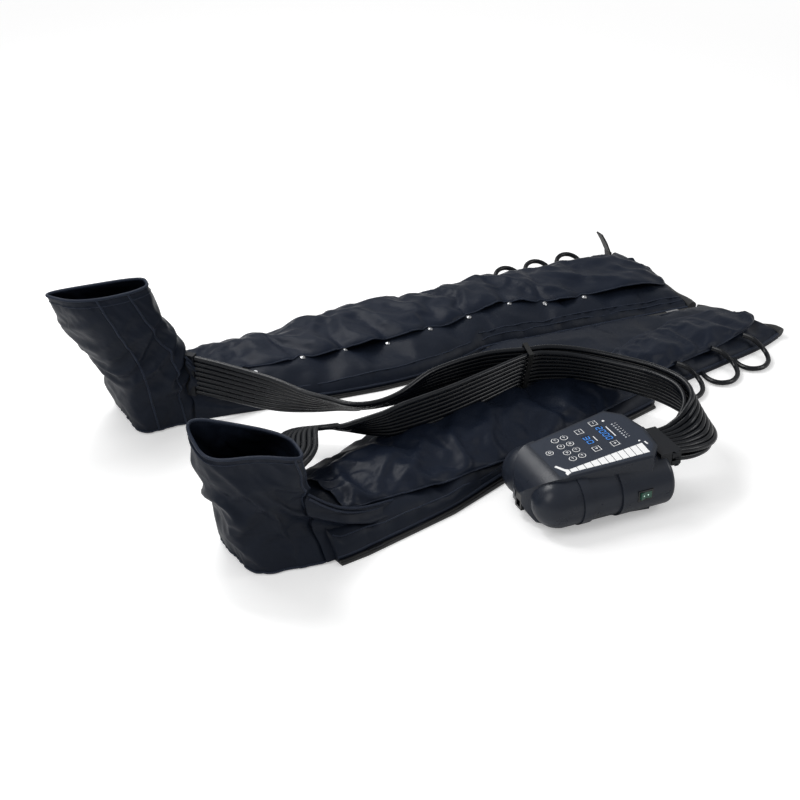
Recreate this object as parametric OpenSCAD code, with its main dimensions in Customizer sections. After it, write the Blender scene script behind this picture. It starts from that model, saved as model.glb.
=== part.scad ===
// A compression therapy pump laid out with its two hose sets and its trousers.
// The casing is a twin-barrel shell with a sloping control face. Each hose set is
// a ribbon of eight bonded tubes. The row frame is the centre of the whole
// laid-out set on the floor, +X towards the waist end, +Z up.

/* [Layout] */
// Pump centre along the row's X axis
pump_x = 39.5; // [30:0.1:60]
// Pump centre along the row's Y axis
pump_y = -338.3; // [-356:0.1:-338]
// Heel corner of the near leg along the row's X axis
garment_x = -481.5; // [-492:0.1:-472]
// Heel corner of the near leg along the row's Y axis
garment_y = -324.3; // [-326:0.1:-315]
// Angle of the legs to the pump's long axis
garment_yaw = 15; // [14:0.5:16]

/* [Pump casing] */
// Half the distance between the two barrel axes
barrel_y = 47; // [46:0.5:50]
// Radius of the dome at the nose of each barrel
dome_r = 40; // [38:0.5:41]
// Radius of the raised collar behind the dome
collar_r = 42; // [41.5:0.1:42.5]
// Radius of the rear body of each barrel
rear_r = 43; // [42.6:0.1:45]
// Height of the barrel axes, where the two shells part
axis_z = 44; // [43:0.5:46]
// Start of the dome, behind the tip of the nose
nose_x = -72; // [-76:1:-68]
// Front of the raised collar
collar_x = -47; // [-49:1:-46]
// Length of the raised collar
collar_l = 17; // [16:1:18]
// End of the slimmer waist band
waist_end = 19; // [12:1:24]
// Rear end of the barrels
rear_x = 113; // [110:1:120]
// Rounding of the barrels' rear edge
rear_round = 9; // [5:1:12]
// Shell thickness
wall = 3; // [2:0.1:3.4]
// Underside of the middle of the casing
base_z = 8; // [6:0.5:10]

/* [Control face] */
// Height of the control face above the pump's centre
panel_z = 96; // [94:0.5:100]
// Slope of the control face, up towards the hoses
panel_tilt = 5.7; // [5:0.1:6.5]
// Rounding from the control face down over the nose
nose_round = 48; // [44:1:50]
// Centre of the nose rounding
nose_mid_x = -66; // [-68:1:-64]
// Half width of the control face at its front
face_front = 57; // [54:1:58]
// Half width of the control face at its widest
face_wide = 75; // [72:1:78]
// Widest place of the control face
face_wide_x = 76; // [72:1:78]
// Half width of the rear edge between its cut corners
face_rear = 50; // [48:1:54]
// Rear edge at the cut corners
face_rear_x = 98; // [96:1:100]
// Rear edge at the middle
face_end_x = 105; // [104:1:107]
// Chamfer round the control face
face_chamfer = 2.5; // [1:0.5:3]
// Thickness of the printed overlay
overlay_t = 1; // [0.8:0.1:1.4]
// Bare margin round the overlay
overlay_margin = 6; // [4:0.5:8]

/* [Keys] */
// Radius of a round key
key_r = 4.8; // [4:0.1:5.4]
// Side of a square key
key_side = 9.6; // [8:0.1:10.4]
// How far a key cap stands above the face
key_rise = 0.8; // [0.6:0.1:1.2]
// Key travel
key_travel = 0.5; // [0.3:0.05:0.6]
// Radius of a key stem
stem_r = 3; // [2.4:0.1:3.2]
// Gap round a key
key_gap = 0.15; // [0.1:0.05:0.25]
// Radius of an indicator lamp
led_r = 1.5; // [1:0.1:1.8]
// Number of segments in the chamber bar
bar_segments = 11; // [8:1:12]

/* [Power switch and inlet] */
// Length of the rocker switch frame
bezel_l = 24; // [22:0.5:26]
// Height of the rocker switch frame
bezel_h = 16; // [14:0.5:18]
// Rocker switch centre behind the pump's centre
rocker_x = 57; // [54:1:60]
// Rocker switch centre height
rocker_z = 47; // [45:0.5:48]
// Half of the rocker's swing
rocker_tilt = 7; // [5:0.5:8]
// Outer side of the power inlet
inlet_side = 19; // [15:0.5:21]
// Open side of the power inlet
inlet_mouth = 11; // [9:0.5:12]

/* [Hose sockets and plugs] */
// Width of a hose plug
plug_w = 76; // [74:0.5:78]
// Thickness of a hose plug
plug_t = 11; // [10.5:0.1:12]
// Length of a hose plug outside its socket
plug_l = 20; // [18:1:24]
// Depth of a hose plug inside its socket
plug_depth = 10; // [8:0.5:12]
// Centre distance of the two plugs
plug_pitch = 13; // [12.6:0.1:14]
// Height between the two plugs' centres
plug_mid_z = 77.5; // [77:0.5:79]
// Sideways place of the plugs
plug_y = -20; // [-22:1:-18]
// Gap round a plug in its socket
plug_gap = 0.2; // [0.1:0.05:0.3]
// Length of a latch lever
latch_l = 15; // [12:0.5:16]

/* [Hose ribbons] */
// Number of tubes in one ribbon
tube_count = 8; // [8:1:8]
// Centre distance of the bonded tubes
tube_pitch = 9; // [8.8:0.1:9]
// Thickness of a ribbon
ribbon_t = 9; // [8:0.5:9.5]
// Distance of each ribbon from the middle of the pair
ribbon_offset = 7.1; // [6.9:0.1:7.2]

/* [Trousers] */
// Thickness of a leg at its sewn edges
edge_h = 10; // [8:1:12]
// Gap between neighbouring soft pieces
seam_gap = 0.2; // [0.1:0.05:0.3]
// Thickness of the port flaps
flap_t = 8; // [6:1:10]
// Gap between a flap and the leg under it
flap_gap = 0.8; // [0.7:0.05:0.9]
// Wall of the foot sections
boot_wall = 6; // [5:0.5:8]
// Width of the centre zip
centre_zip_w = 15; // [12:1:16]
// Width of a leg zip tape
zip_w = 9; // [7:0.5:10]
// Thickness of a leg zip tape
zip_t = 4; // [3:0.5:5]
// Radius of a snap stud
snap_r = 5; // [4:0.5:6]
// Radius of a jumper tube
jumper_r = 4.5; // [3.5:0.5:5]
// Width of the waist binding
binding_w = 14; // [12:1:18]
// Height of the waist binding
binding_h = 18; // [14:1:22]

/* [Hidden] */
$fn = 64;
tiny = 0.01;
far_reach = 400;
foot_t = 3;
foot_r = 8;
feet_x = [collar_x + collar_l / 2, 88];
nose_mid_z = plane_z(nose_mid_x) - nose_round / cos(panel_tilt) + 0.1;

// Keys: places on the control face, from its origin
round_keys = [[-54, 14], [-31, 39], [-31, 20], [-31, 1], [-31, -17],
              [-15, 39], [-15, 20], [-15, 1], [-15, -17]];
square_keys = [[13, 41], [13, -13], [43, 50], [44, -15]];
time_window = [[44.5, 18], [13, 44]];
pressure_window = [[14, 14], [12, 26]];
led_places = [for (i = [0:7]) [67, 33 - 6 * i]];

// Chamber bar: [place along the face, middle, half width]
bar_start = [-50, -43, 4];
bar_knee = [10, -46, 9];
bar_end = [78, -48.5, 13.5];
bar_foot = [[-51, -38], [-51, -47.5], [-59, -51], [-60, -46], [-57, -42], [-66, -22], [-62, -20], [-55, -35]];
bar_bend = 0.45;
bar_gap = 1;
bar_inset = 0.6;

// Inner pieces
board_top = -10;
board_t = 1.6;
board_margin = 16;
switch_side = 6;
switch_body = 1.4;
switch_rise = 2.6;
switch_tip_r = 1.6;
post_r = 2.5;
board_posts = [[-58, -20], [-2, 28], [30, -26], [84, 30], [84, -24]];
screw_places = [[-40, -34], [-40, 34], [90, -34], [90, 34]];
screw_r = 1.5;
screw_head_r = 3;
screw_head_h = 2.8;
screw_seat = 10;
screw_top = 62;
boss_r = 5;
motor_r = 24;
motor_x = [-22, 58];
mount_x = [[-12, -6], [28, 34]];
supply_box = [70, 40, 36];
supply_x = -20;
valve_x = [5, 75];
valve_y = [-8, 16];
valve_z = [30, 60];
riser_top = 88;
nozzle_x = 48;
nozzle_r = 5;
nozzle_y = -20;
air_tube_r = 3;
rib_x = [15, 60];
rib_t = 3;

// Switch frame and inlet
bezel_flange = 1;
bezel_face = barrel_y + 41.8;
bezel_lip = 1.6;
bezel_deep = 9;
rocker_gap = 0.35;
inlet_z = 25;
inlet_front = -112.5;
inlet_deep = 14;
inlet_hollow = 9;

// Sockets and plugs
socket_x = [98, 118];
socket_rim = 4;
plug_z = [plug_mid_z + plug_pitch / 2, plug_mid_z - plug_pitch / 2];
plug_front = socket_x[1] - plug_depth;
plug_back = socket_x[1] + plug_l;
ear_t = 1.4;
ear_l = 7;
ear_reach = 5;
latch_t = 2.6;
latch_pin_r = 1.1;
pin_gap = 0.06;
latch_x = socket_x[1] + 10;

// Ribbon route points from the pump's centre: [x, y, z, roll]; roll 90 stands on edge
trunk_route = [[168, -18, 78, 10], [200, -4, 82, 31], [224, 30, 87, 57], [231, 80, 90, 68],
               [214, 138, 90, 68], [178, 192, 90, 66], [132, 240, 91, 66], [85, 264, 93, 70],
               [40, 270, 94, 74]];
far_branch = [[-30, 298, 92, 72], [-130, 286, 92, 66], [-212, 264, 90, 42], [-261, 264, 90, 35],
              [-293, 289, 88, 42], [-332, 317, 88, 56], [-381, 364, 90, 80], [-440, 434, 90, 88]];
near_branch = [[-54, 236, 92, 78], [-132, 217, 90, 78], [-216, 203, 90, 74], [-260, 202, 90, 58],
               [-314, 216, 90, 34], [-340, 220, 94, 30], [-390, 204, 106, 24], [-419, 145, 114, 10],
               [-439, 124, 117, 2]];
far_end = [-474, 470, 91, 90];
near_end = [-450, 118, 118, 0];
rings_a_span = 2;
port_l = 16;
port_t = 13;
tie_t = 1.6;
tie_w = 8;
tie_gap = 2;

// Trousers: plan of each leg in stations of [near edge, far edge, height]
centre_a = [708, 304];
centre_b = [1128, 178];
zip_x = [712, 1126];
centre_slider_x = 1090;
near_leg_stations = [
    [[104, -44], [104, 152], 56], [[150, -48], [152, 164], 48], [[320, -46], [328, 196], 42],
    [[453, -28], [450, 234], 42], [[600, -26], [600, 272], 42], [[708, -24], on_centre(centre_a[0], -1), 42],
    [[800, -20], on_centre(800, -1), 42], [near_waist_edge(846), on_centre(880, -1), 39],
    [near_waist_edge(1000), on_centre(1000, -1), 34], [near_waist_edge(1110), on_centre(1090, -1), 30],
    [[1172, 4], on_centre(centre_b[0], -1), 22]];
far_leg_stations = [
    [[172, 436], [172, 606], 56], [[205, 428], [235, 612], 48], [[393, 351], [366, 593], 42],
    [[470, 325], [460, 592], 42], [[546, 308], [548, 588], 42], [[640, 306], [620, 566], 42],
    [on_centre(zip_x[0], 1), [688, 544], 42], [on_centre(790, 1), [827, 520], 42],
    [on_centre(880, 1), [935, 495], 38], [on_centre(1000, 1), [1054, 471], 32],
    [on_centre(1080, 1), [1130, 455.5], 28], [on_centre(zip_x[1], 1), [1181, 445], 22]];
function near_waist_edge(x) = [x, 0.8 - 0.016 * (x - 846)];
// How far across each leg its flap starts and ends, station by station
near_flap_span = [[0.26, 0.72], [0.13, 0.80], [0.05, 0.72], [0.05, 0.60], [0.06, 0.48], [0.07, 0.38],
                  [0.09, 0.44], [0.11, 0.60], [0.19, 0.61], [0.34, 0.46]];
far_flap_span = [[0.26, 0.90], [0.335, 0.94], [0.34, 0.95], [0.325, 0.95], [0.295, 0.95], [0.28, 0.95],
                 [0.375, 0.95], [0.275, 0.95], [0.265, 0.95], [0.26, 0.95], [0.30, 0.94]];
// Studs beside the far flap's free edge: [station, share of the leg's width]
stud_places = [[1.46, 0.22], [1.96, 0.304], [2.92, 0.309], [3.96, 0.295], [4.94, 0.264], [6.14, 0.251],
               [7.12, 0.329], [7.8, 0.258], [8.48, 0.231]];
leg_steps = 20;
flap_steps = 24;

// Foot sections: rings of [height, corner softness, heel corner, near corner, far corner, back corner]
near_boot_rings = [[0, 0.35, [-10, 6], [104.5, -42], [104.5, 148], [2, 124]],
                   [55, 0.45, [-22, 14], [100, -14], [104.5, 146], [-10, 134]],
                   [110, 0.5, [-34, 24], [78, -32], [90, 112], [-26, 126]],
                   [165, 0.5, [-46, 34], [60, -48], [78, 62], [-42, 124]],
                   [212, 0.6, [-54, 44], [44, -62], [60, 8], [-46, 122]]];
far_boot_rings = [[0, 0.35, [62, 450], [172.5, 428], [172.5, 604], [92, 592]],
                  [70, 0.45, [48, 448], [167.5, 428], [169.5, 583], [58, 582]],
                  [140, 0.5, [26, 444], [158, 428], [160, 558], [16, 566]],
                  [210, 0.5, [-4, 440], [118, 424], [128, 500], [-34, 536]],
                  [280, 0.5, [-34, 446], [86, 418], [98, 458], [-66, 494]]];
boot_floor = 12;
cuff_z = 140;
boot_steps = 28;

slider_l = 14;
slider_h = 5;
slider_share = [0.13, 0.144];
snap_h = 3;
near_jumpers = [888, 980, 1064];
near_jumper_route = [[8, 16, 37, 0], [26, 3, 27, 0], [33, -20, 11, 0], [16, -44, 6, 0], [-12, -54, 6, 0],
                     [-33, -44, 6, 0], [-38, -24, 6, 0], [-31, -2.4, 6, 0]];
jumper_steps = 4;
jumper_sides = 12;
far_jumpers = [0.02, 0.30, 0.60];
jumper_bend = 27;
jumper_leg = 8;
jumper_tilt = 30;
strap_w = 20;
strap_t = 2.4;
strap_side = [[0, 0], [strap_t, 0], [strap_t + 3, 20], [strap_t + 14, 42], [strap_t + 26, 62],
              [25.6, 63.4], [13, 43], [3, 21], [0, 18]];

// ---------- Functions ----------

function plane_z(x) = panel_z + x * tan(panel_tilt);
function mix(a, b, t) = a + (b - a) * t;
function unit(v) = v / norm(v);

// A place on the trousers' centre line at x, on the far (1) or near (-1) side of its zip
function centre_y(x) = mix(centre_a[1], centre_b[1], (x - centre_a[0]) / (centre_b[0] - centre_a[0]));
function centre_turn() = atan2(centre_b[1] - centre_a[1], centre_b[0] - centre_a[0]);
function on_centre(x, side) = [x, centre_y(x) + side * (centre_zip_w / 2 + seam_gap) / cos(centre_turn())];

// Height of a leg's top at a share t of its width
function dome(t) = pow(max(0, 1 - pow(abs(2 * t - 1), 2.6)), 0.55);
function leg_top(s, t) = edge_h + (s[2] - edge_h) * dome(t);
function leg_point(s, t, z) = [mix(s[0][0], s[1][0], t), mix(s[0][1], s[1][1], t), z];
function leg_ring(s, n) = concat(
    [for (i = [0:n]) leg_point(s, i / n, leg_top(s, i / n))],
    [for (i = [0:n]) leg_point(s, 1 - i / n, 0)]);
function flap_ring(s, span, n) = concat(
    [for (i = [0:n]) let (t = mix(span[0], span[1], i / n))
        leg_point(s, t, leg_top(s, t) + flap_gap + flap_t * (0.35 + 0.65 * dome(i / n)))],
    [for (i = [0:n]) let (t = mix(span[1], span[0], i / n)) leg_point(s, t, leg_top(s, t) + flap_gap)]);

// Ring of a foot section: a soft-cornered square stretched to its four corners, drawn in by g
function soft(v, e) = sign(v) * pow(abs(v), e);
function boot_ring(r, g) =
    let (a = r[2], b = r[3], c = r[4], d = r[5],
         half = [(norm(b - a) + norm(c - d)) / 4, (norm(d - a) + norm(c - b)) / 4])
    [for (i = [0:boot_steps - 1])
        let (u = soft(cos(360 * i / boot_steps), r[1]) * (1 - g / half[0]),
             v = soft(sin(360 * i / boot_steps), r[1]) * (1 - g / half[1]),
             p = mix(mix(a, b, (1 + u) / 2), mix(d, c, (1 + u) / 2), (1 + v) / 2))
        [p[0], p[1], r[0]]];
function ring_at(rings, z) =
    let (k = [for (i = [0:len(rings) - 2]) if (rings[i][0] <= z && z <= rings[i + 1][0]) i][0],
         t = (z - rings[k][0]) / (rings[k + 1][0] - rings[k][0]))
    [for (i = [0:5]) mix(rings[k][i], rings[k + 1][i], t)];

// Smooth curve through points: the point at share t between p[i] and p[i + 1]
function curve_at(p, i, t) =
    let (a = p[max(i - 1, 0)], b = p[i], c = p[i + 1], d = p[min(i + 2, len(p) - 1)])
    0.5 * (2 * b + (c - a) * t + (2 * a - 5 * b + 4 * c - d) * t * t + (3 * b - a - 3 * c + d) * t * t * t);
function curve(p, span) = concat(
    [for (i = [0:len(p) - 2], j = [0:span - 1]) curve_at(p, i, j / span)], [p[len(p) - 1]]);
function place(q) = [q[0], q[1], q[2]];
function heading(c, i) = unit(place(c[min(i + 1, len(c) - 1)]) - place(c[max(i - 1, 0)]));
// Across the ribbon, and square to it, at a heading and a roll
function level(h) = unit([-h[1], h[0], 0]);
function across(h, roll) = cos(roll) * level(h) + sin(roll) * cross(h, level(h));
function facing(h, roll) = cross(h, across(h, roll));
// Trunk points moved off the middle of the pair by d
function beside(p, d) = [for (i = [0:len(p) - 1])
    let (n = facing(heading(p, i), p[i][3]), q = place(p[i]) + d * n) [q[0], q[1], q[2], p[i][3]]];
function edge_turn(a, b) = atan2(b[1] - a[1], b[0] - a[0]);
function end_turn(p) = let (c = curve(p, rings_a_span), n = len(c)) edge_turn(c[n - 2], c[n - 1]);
function plug_end(z) = [plug_back, plug_y, z, 0];
far_route = concat([plug_end(plug_z[0])], beside(trunk_route, ribbon_offset), far_branch, [far_end]);
near_route = concat([plug_end(plug_z[1])], beside(trunk_route, -ribbon_offset), near_branch, [near_end]);
// Outline of a ribbon: two flat faces and rounded edges
ribbon_w = tube_count * tube_pitch;
ribbon_edge = [[0.5, 0.22], [0.47, 0.5], [-0.47, 0.5], [-0.5, 0.22],
               [-0.5, -0.22], [-0.47, -0.5], [0.47, -0.5], [0.5, -0.22]];
function ribbon_ring(q, h) = [for (e = ribbon_edge)
    place(q) + e[0] * ribbon_w * across(h, q[3]) + e[1] * ribbon_t * facing(h, q[3])];

// Faces round a stack of equal rings, and the two ends of it: one face each, or strips from top to bottom
function side_faces(rows, n) = [for (r = [0:rows - 2], i = [0:n - 1], half = [0, 1])
    let (a = r * n, b = a + n, j = (i + 1) % n) half == 0 ? [a + i, b + i, b + j] : [a + i, b + j, a + j]];
function round_ends(rows, n) = [[for (i = [0:n - 1]) i], [for (i = [n - 1:-1:0]) (rows - 1) * n + i]];
function strip_ends(rows, n) = [for (i = [0:n / 2 - 2], last = [0, 1])
    let (q = [i, i + 1, n - 2 - i, n - 1 - i], m = last * (rows - 1) * n)
    last == 0 ? [for (k = [0:3]) q[k]] : [for (k = [3:-1:0]) m + q[k]]];

// ---------- Shared forms ----------

module at_pump() translate([pump_x, pump_y, 0]) children();
module at_face() at_pump() translate([0, 0, panel_z]) rotate([0, -panel_tilt, 0]) children();
module at_garment() translate([garment_x, garment_y, 0]) rotate([0, 0, garment_yaw]) children();
module both_sides() for (s = [0, 1]) mirror([0, s, 0]) children();

// Solid through a stack of rings of points
module loft(rings, strips = false) {
    n = len(rings[0]);
    rows = len(rings);
    polyhedron([for (r = rings) for (p = r) p],
        concat(side_faces(rows, n), strips ? strip_ends(rows, n) : round_ends(rows, n)), convexity = 6);
}

// Half section of a barrel, radius across and length up, drawn in by g
module barrel_section(g) {
    intersection() {
        union() {
            translate([0, nose_x]) circle(r = dome_r - g);
            translate([0, nose_x]) square([dome_r - g, waist_end - nose_x + g + 1]);
            translate([0, collar_x + g]) square([collar_r - g, collar_l - 2 * g]);
            translate([0, waist_end + g]) square([rear_r - g, rear_x - rear_round - waist_end - g]);
            translate([0, waist_end + g]) square([rear_r - rear_round, rear_x - waist_end - 2 * g]);
            translate([rear_r - rear_round, rear_x - rear_round]) circle(r = rear_round - g);
        }
        translate([0, nose_x - dome_r]) square([rear_r, rear_x - nose_x + dome_r]);
    }
}

module barrel(g)
    translate([0, barrel_y, axis_z]) rotate([0, 90, 0]) rotate_extrude($fn = 96) barrel_section(g);

// Side outline of the middle of the casing: the nose rounding runs into the sloping face
module cape_side(g) {
    tip = [nose_mid_x - 1, plane_z(nose_mid_x - 1) - g / cos(panel_tilt)];
    end = face_end_x + 3 - g;
    intersection() {
        union() {
            translate([nose_mid_x, nose_mid_z]) circle(r = nose_round - g, $fn = 96);
            polygon([[tip[0], 0], [end, 0], [end, plane_z(end) - g / cos(panel_tilt)], tip]);
        }
        translate([-far_reach / 2, base_z + g]) square([far_reach, far_reach]);
    }
}

// Plan outline of the middle of the casing, a shield with a round front
nose_steps = 36;
function nose_arc(g) = [for (i = [0:nose_steps])
    let (a = 90 + 180 * i / nose_steps) (face_front - g) * [cos(a), sin(a)] - [face_front, 0]];
module cape_plan(g) {
    wide = [face_wide_x - g / 2, face_wide - g];
    rear = [face_rear_x - g, face_rear - g / 2];
    middle = [face_end_x + 1 - g, 0];
    polygon(concat(nose_arc(g), [[wide[0], -wide[1]], [rear[0], -rear[1]], middle, rear, wide]));
}

module edge_cut(a, b) {
    d = b - a;
    translate([a[0], a[1], 0]) rotate([0, 0, atan2(d[1], d[0])]) translate([-8, -face_chamfer, 0])
        rotate([-45, 0, 0]) cube([norm(d) + 16, 12, 12]);
}

module cape(g) {
    difference() {
        intersection() {
            rotate([90, 0, 0]) linear_extrude(far_reach, center = true) cape_side(g);
            linear_extrude(far_reach) cape_plan(g);
        }
        if (g == 0) translate([0, 0, panel_z]) rotate([0, -panel_tilt, 0]) both_sides() {
            edge_cut([-face_front + 6, face_front + 0.8], [face_wide_x, face_wide]);
            edge_cut([face_wide_x, face_wide], [face_rear_x, face_rear]);
            edge_cut([face_rear_x, face_rear], [face_end_x + 1, 0]);
        }
    }
}

// The whole outer form drawn in by g, flat underneath for its feet
module casing_form(g) {
    intersection() {
        union() {
            both_sides() barrel(g);
            cape(g);
        }
        translate([-far_reach / 2, -far_reach / 2, foot_t + g]) cube(far_reach);
    }
}

module upper_half() translate([-far_reach / 2, -far_reach / 2, axis_z]) cube(far_reach);
module lower_half() translate([-far_reach / 2, -far_reach / 2, axis_z - far_reach]) cube(far_reach);

module bosses(r, low, high)
    for (p = screw_places) translate([p[0], p[1], low]) cylinder(r = r, h = high - low);

// Room for the switch frame, the power inlet and the hose socket
module switch_room() translate([rocker_x, -bezel_face - 10, rocker_z]) {
    translate([-bezel_l / 2, 0, -bezel_h / 2]) cube([bezel_l, bezel_deep + 20, bezel_h]);
    translate([-bezel_l / 2 - bezel_flange, 0, -bezel_h / 2 - bezel_flange])
        cube([bezel_l + 2 * bezel_flange, 10, bezel_h + 2 * bezel_flange]);
}
// The inlet drops into a slot that is open to the parting line, and the upper half closes it
module inlet_room() translate([inlet_front - 10, -inlet_side / 2, inlet_z - inlet_side / 2])
    cube([inlet_deep + 10, inlet_side, axis_z - inlet_z + inlet_side / 2 + 1]);
module socket_room() translate([socket_x[0], plug_y - plug_w / 2 - socket_rim, socket_low()])
    cube([60, plug_w + 2 * socket_rim, socket_high() - socket_low()]);
function socket_low() = plug_z[1] - plug_t / 2 - 2.5;
function socket_high() = plug_z[0] + plug_t / 2 + 2.5;

// ---------- Casing ----------

module casing_lower() {
    color("#34373b") at_pump() difference() {
        union() {
            difference() {
                intersection() {
                    casing_form(0);
                    lower_half();
                }
                casing_form(wall);
            }
            intersection() {
                union() {
                    bosses(boss_r + 0.5, foot_t, axis_z);
                    for (x = rib_x) translate([x, valve_y[0], base_z])
                        cube([rib_t, valve_y[1] - valve_y[0], valve_z[0] - base_z]);
                }
                casing_form(1);
            }
        }
        bosses(screw_head_r + 0.2, 0, screw_seat);
        bosses(screw_r + 0.2, 0, axis_z + 1);
        switch_room();
        inlet_room();
    }
}

module casing_upper() {
    color("#3a3d41") difference() {
        union() {
            at_pump() difference() {
                intersection() {
                    casing_form(0);
                    upper_half();
                }
                casing_form(wall);
            }
            at_pump() intersection() {
                bosses(boss_r, axis_z, far_reach / 2);
                casing_form(1);
            }
            at_face() for (p = board_posts) translate([p[0], p[1], board_top])
                cylinder(r = post_r, h = -board_top - wall + 0.5);
        }
        at_pump() {
            bosses(screw_r, axis_z - 1, screw_top);
            switch_room();
            socket_room();
        }
        at_face() {
            translate([0, 0, -overlay_t]) linear_extrude(10) overlay_plan();
            translate([0, 0, -wall - 2]) linear_extrude(20)
                face_holes(stem_r + 2 * key_gap, led_r + key_gap, 0.2);
        }
    }
}

// ---------- Control face ----------

module overlay_plan() intersection() {
    cape_plan(overlay_margin);
    translate([-70, -far_reach / 2]) square([far_reach, far_reach]);
}

// Openings for the key stems, the lamps and the two displays
module face_holes(key_hole, lamp_hole, window_gap) {
    for (p = concat(round_keys, square_keys)) translate(p) circle(r = key_hole);
    for (p = led_places) translate(p) circle(r = lamp_hole);
    for (w = [time_window, pressure_window]) translate(w[0])
        square(w[1] + [2, 2] * window_gap, center = true);
}

module bar_piece(k) {
    a = bar_section(bar_share(k));
    b = bar_section(bar_share(k + 1));
    end = b[0] - bar_gap;
    polygon([[a[0], a[1] - a[2]], [end, b[1] - b[2]],
             [end + b[2] / 6, b[1] + b[2]], [a[0] + a[2] / 6, a[1] + a[2]]]);
}
function bar_share(k) = k / bar_segments;
function bar_section(t) = t < bar_bend
    ? mix(bar_start, bar_knee, t / bar_bend) : mix(bar_knee, bar_end, (t - bar_bend) / (1 - bar_bend));
module bar_plan() {
    for (k = [0:bar_segments - 1]) bar_piece(k);
    polygon(bar_foot);
}

module control_overlay() {
    color("#303236") at_face() difference() {
        translate([0, 0, -overlay_t]) linear_extrude(overlay_t) difference() {
            overlay_plan();
            for (p = round_keys) translate(p) circle(r = key_r + key_gap);
            for (p = square_keys) translate(p) square(key_side + 2 * key_gap, center = true);
            for (p = led_places) translate(p) circle(r = led_r + key_gap);
            for (w = [time_window, pressure_window]) translate(w[0]) square(w[1], center = true);
        }
        translate([0, 0, -bar_inset]) linear_extrude(2) bar_plan();
    }
}

module display(w) color("#1d6fd0") at_face() translate([0, 0, board_top]) linear_extrude(-board_top - 0.2)
    translate(w[0]) square(w[1], center = true);
module time_display() display(time_window);
module pressure_display() display(pressure_window);
module chamber_bar()
    color("white") at_face() translate([0, 0, -bar_inset]) linear_extrude(bar_inset) bar_plan();
module indicator_lamps() color("#d8d8d8") at_face() translate([0, 0, board_top]) linear_extrude(-board_top)
    for (p = led_places) translate(p) circle(r = led_r);

module key_stem() translate([0, 0, board_top + switch_rise])
    cylinder(r = stem_r, h = key_travel - board_top - switch_rise - overlay_t);
module round_key(i) color("#44474b") at_face() translate(round_keys[i]) {
    key_stem();
    translate([0, 0, key_travel - overlay_t]) cylinder(r = key_r, h = overlay_t - key_travel + key_rise);
}
module square_key(i) color("#44474b") at_face() translate(square_keys[i]) {
    key_stem();
    translate([-key_side / 2, -key_side / 2, key_travel - overlay_t])
        cube([key_side, key_side, overlay_t - key_travel + key_rise]);
}

// ---------- Power switch and inlet ----------

module at_rocker() at_pump() translate([rocker_x, -bezel_face, rocker_z]) children();

module switch_frame() {
    color("#15171a") at_rocker() difference() {
        union() {
            translate([-bezel_l / 2, 0, -bezel_h / 2]) cube([bezel_l, bezel_deep, bezel_h]);
            translate([-bezel_l / 2 - bezel_flange, -bezel_lip, -bezel_h / 2 - bezel_flange])
                cube([bezel_l + 2 * bezel_flange, bezel_lip, bezel_h + 2 * bezel_flange]);
        }
        translate([-bezel_l / 2 + 2, -10, -bezel_h / 2 + 2]) cube([bezel_l - 4, 17.5, bezel_h - 4]);
        translate([0, 1, -bezel_h / 2 + 1]) cylinder(r = 1.2 + pin_gap, h = bezel_h - 2);
    }
}

module power_rocker() {
    half = bezel_l / 2 - 2 - rocker_gap;
    color("#2fbf8f") at_rocker() translate([0, 1, 0]) rotate([0, 0, rocker_tilt]) {
        translate([0, 0, 2 + rocker_gap - bezel_h / 2]) linear_extrude(bezel_h - 4 - 2 * rocker_gap)
            polygon([[0.2 - half, -4.6], [0, -2.4], [half - 0.2, -4.6],
                     [half - 0.6, 3.8], [0.6 - half, 3.8]]);
        translate([0, 0, 1.2 - bezel_h / 2]) cylinder(r = 1.2, h = bezel_h - 2.4);
    }
}

module power_inlet() {
    low = inlet_z - inlet_side / 2;
    color("#15171a") at_pump() translate([inlet_front, -inlet_side / 2, low]) difference() {
        cube([inlet_deep, inlet_side, axis_z - low]);
        translate([-1, (inlet_side - inlet_mouth) / 2, (inlet_side - inlet_mouth) / 2])
            cube([inlet_hollow + 1, inlet_mouth, inlet_mouth]);
    }
}

// ---------- Hose socket, plugs and latches ----------

module hose_socket() {
    color("#26282b") at_pump() difference() {
        translate([socket_x[0], plug_y - plug_w / 2 - socket_rim, socket_low()])
            cube([socket_x[1] - socket_x[0], plug_w + 2 * socket_rim, socket_high() - socket_low()]);
        for (z = plug_z) translate([plug_front, plug_y - plug_w / 2 - plug_gap, z - plug_t / 2 - plug_gap])
            cube([plug_depth + 1, plug_w + 2 * plug_gap, plug_t + 2 * plug_gap]);
    }
}

module hose_plug(z) {
    side = plug_y - plug_w / 2;
    color("#222427") at_pump() {
        translate([plug_front, side, z - plug_t / 2]) cube([plug_back - plug_front, plug_w, plug_t]);
        for (low = [z - plug_t / 2, z + plug_t / 2 - ear_t]) difference() {
            translate([latch_x - ear_l / 2, side - ear_reach, low]) cube([ear_l, ear_reach + 1, ear_t]);
            translate([latch_x, side - ear_reach / 2, low - 1])
                cylinder(r = latch_pin_r + pin_gap, h = ear_t + 2);
        }
    }
}
module far_hose_plug() hose_plug(plug_z[0]);
module near_hose_plug() hose_plug(plug_z[1]);

module plug_latch(z) {
    inner = plug_t - 2 * ear_t - 0.4;
    color("#3b3e42") at_pump() translate([latch_x, plug_y - plug_w / 2 - ear_reach / 2, z]) {
        translate([0.4 - 9, -latch_t / 2, -inner / 2]) cube([latch_l, latch_t, inner]);
        translate([0, 0, -plug_t / 2 + 0.2]) cylinder(r = latch_pin_r, h = plug_t - 0.4);
    }
}
module far_plug_latch() plug_latch(plug_z[0]);
module near_plug_latch() plug_latch(plug_z[1]);

// ---------- Feet, screws and inner pieces ----------

module rubber_feet() color("#101113") at_pump() for (x = feet_x, y = [-barrel_y, barrel_y])
    translate([x, y, 0]) cylinder(r = foot_r, h = foot_t);

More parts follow.
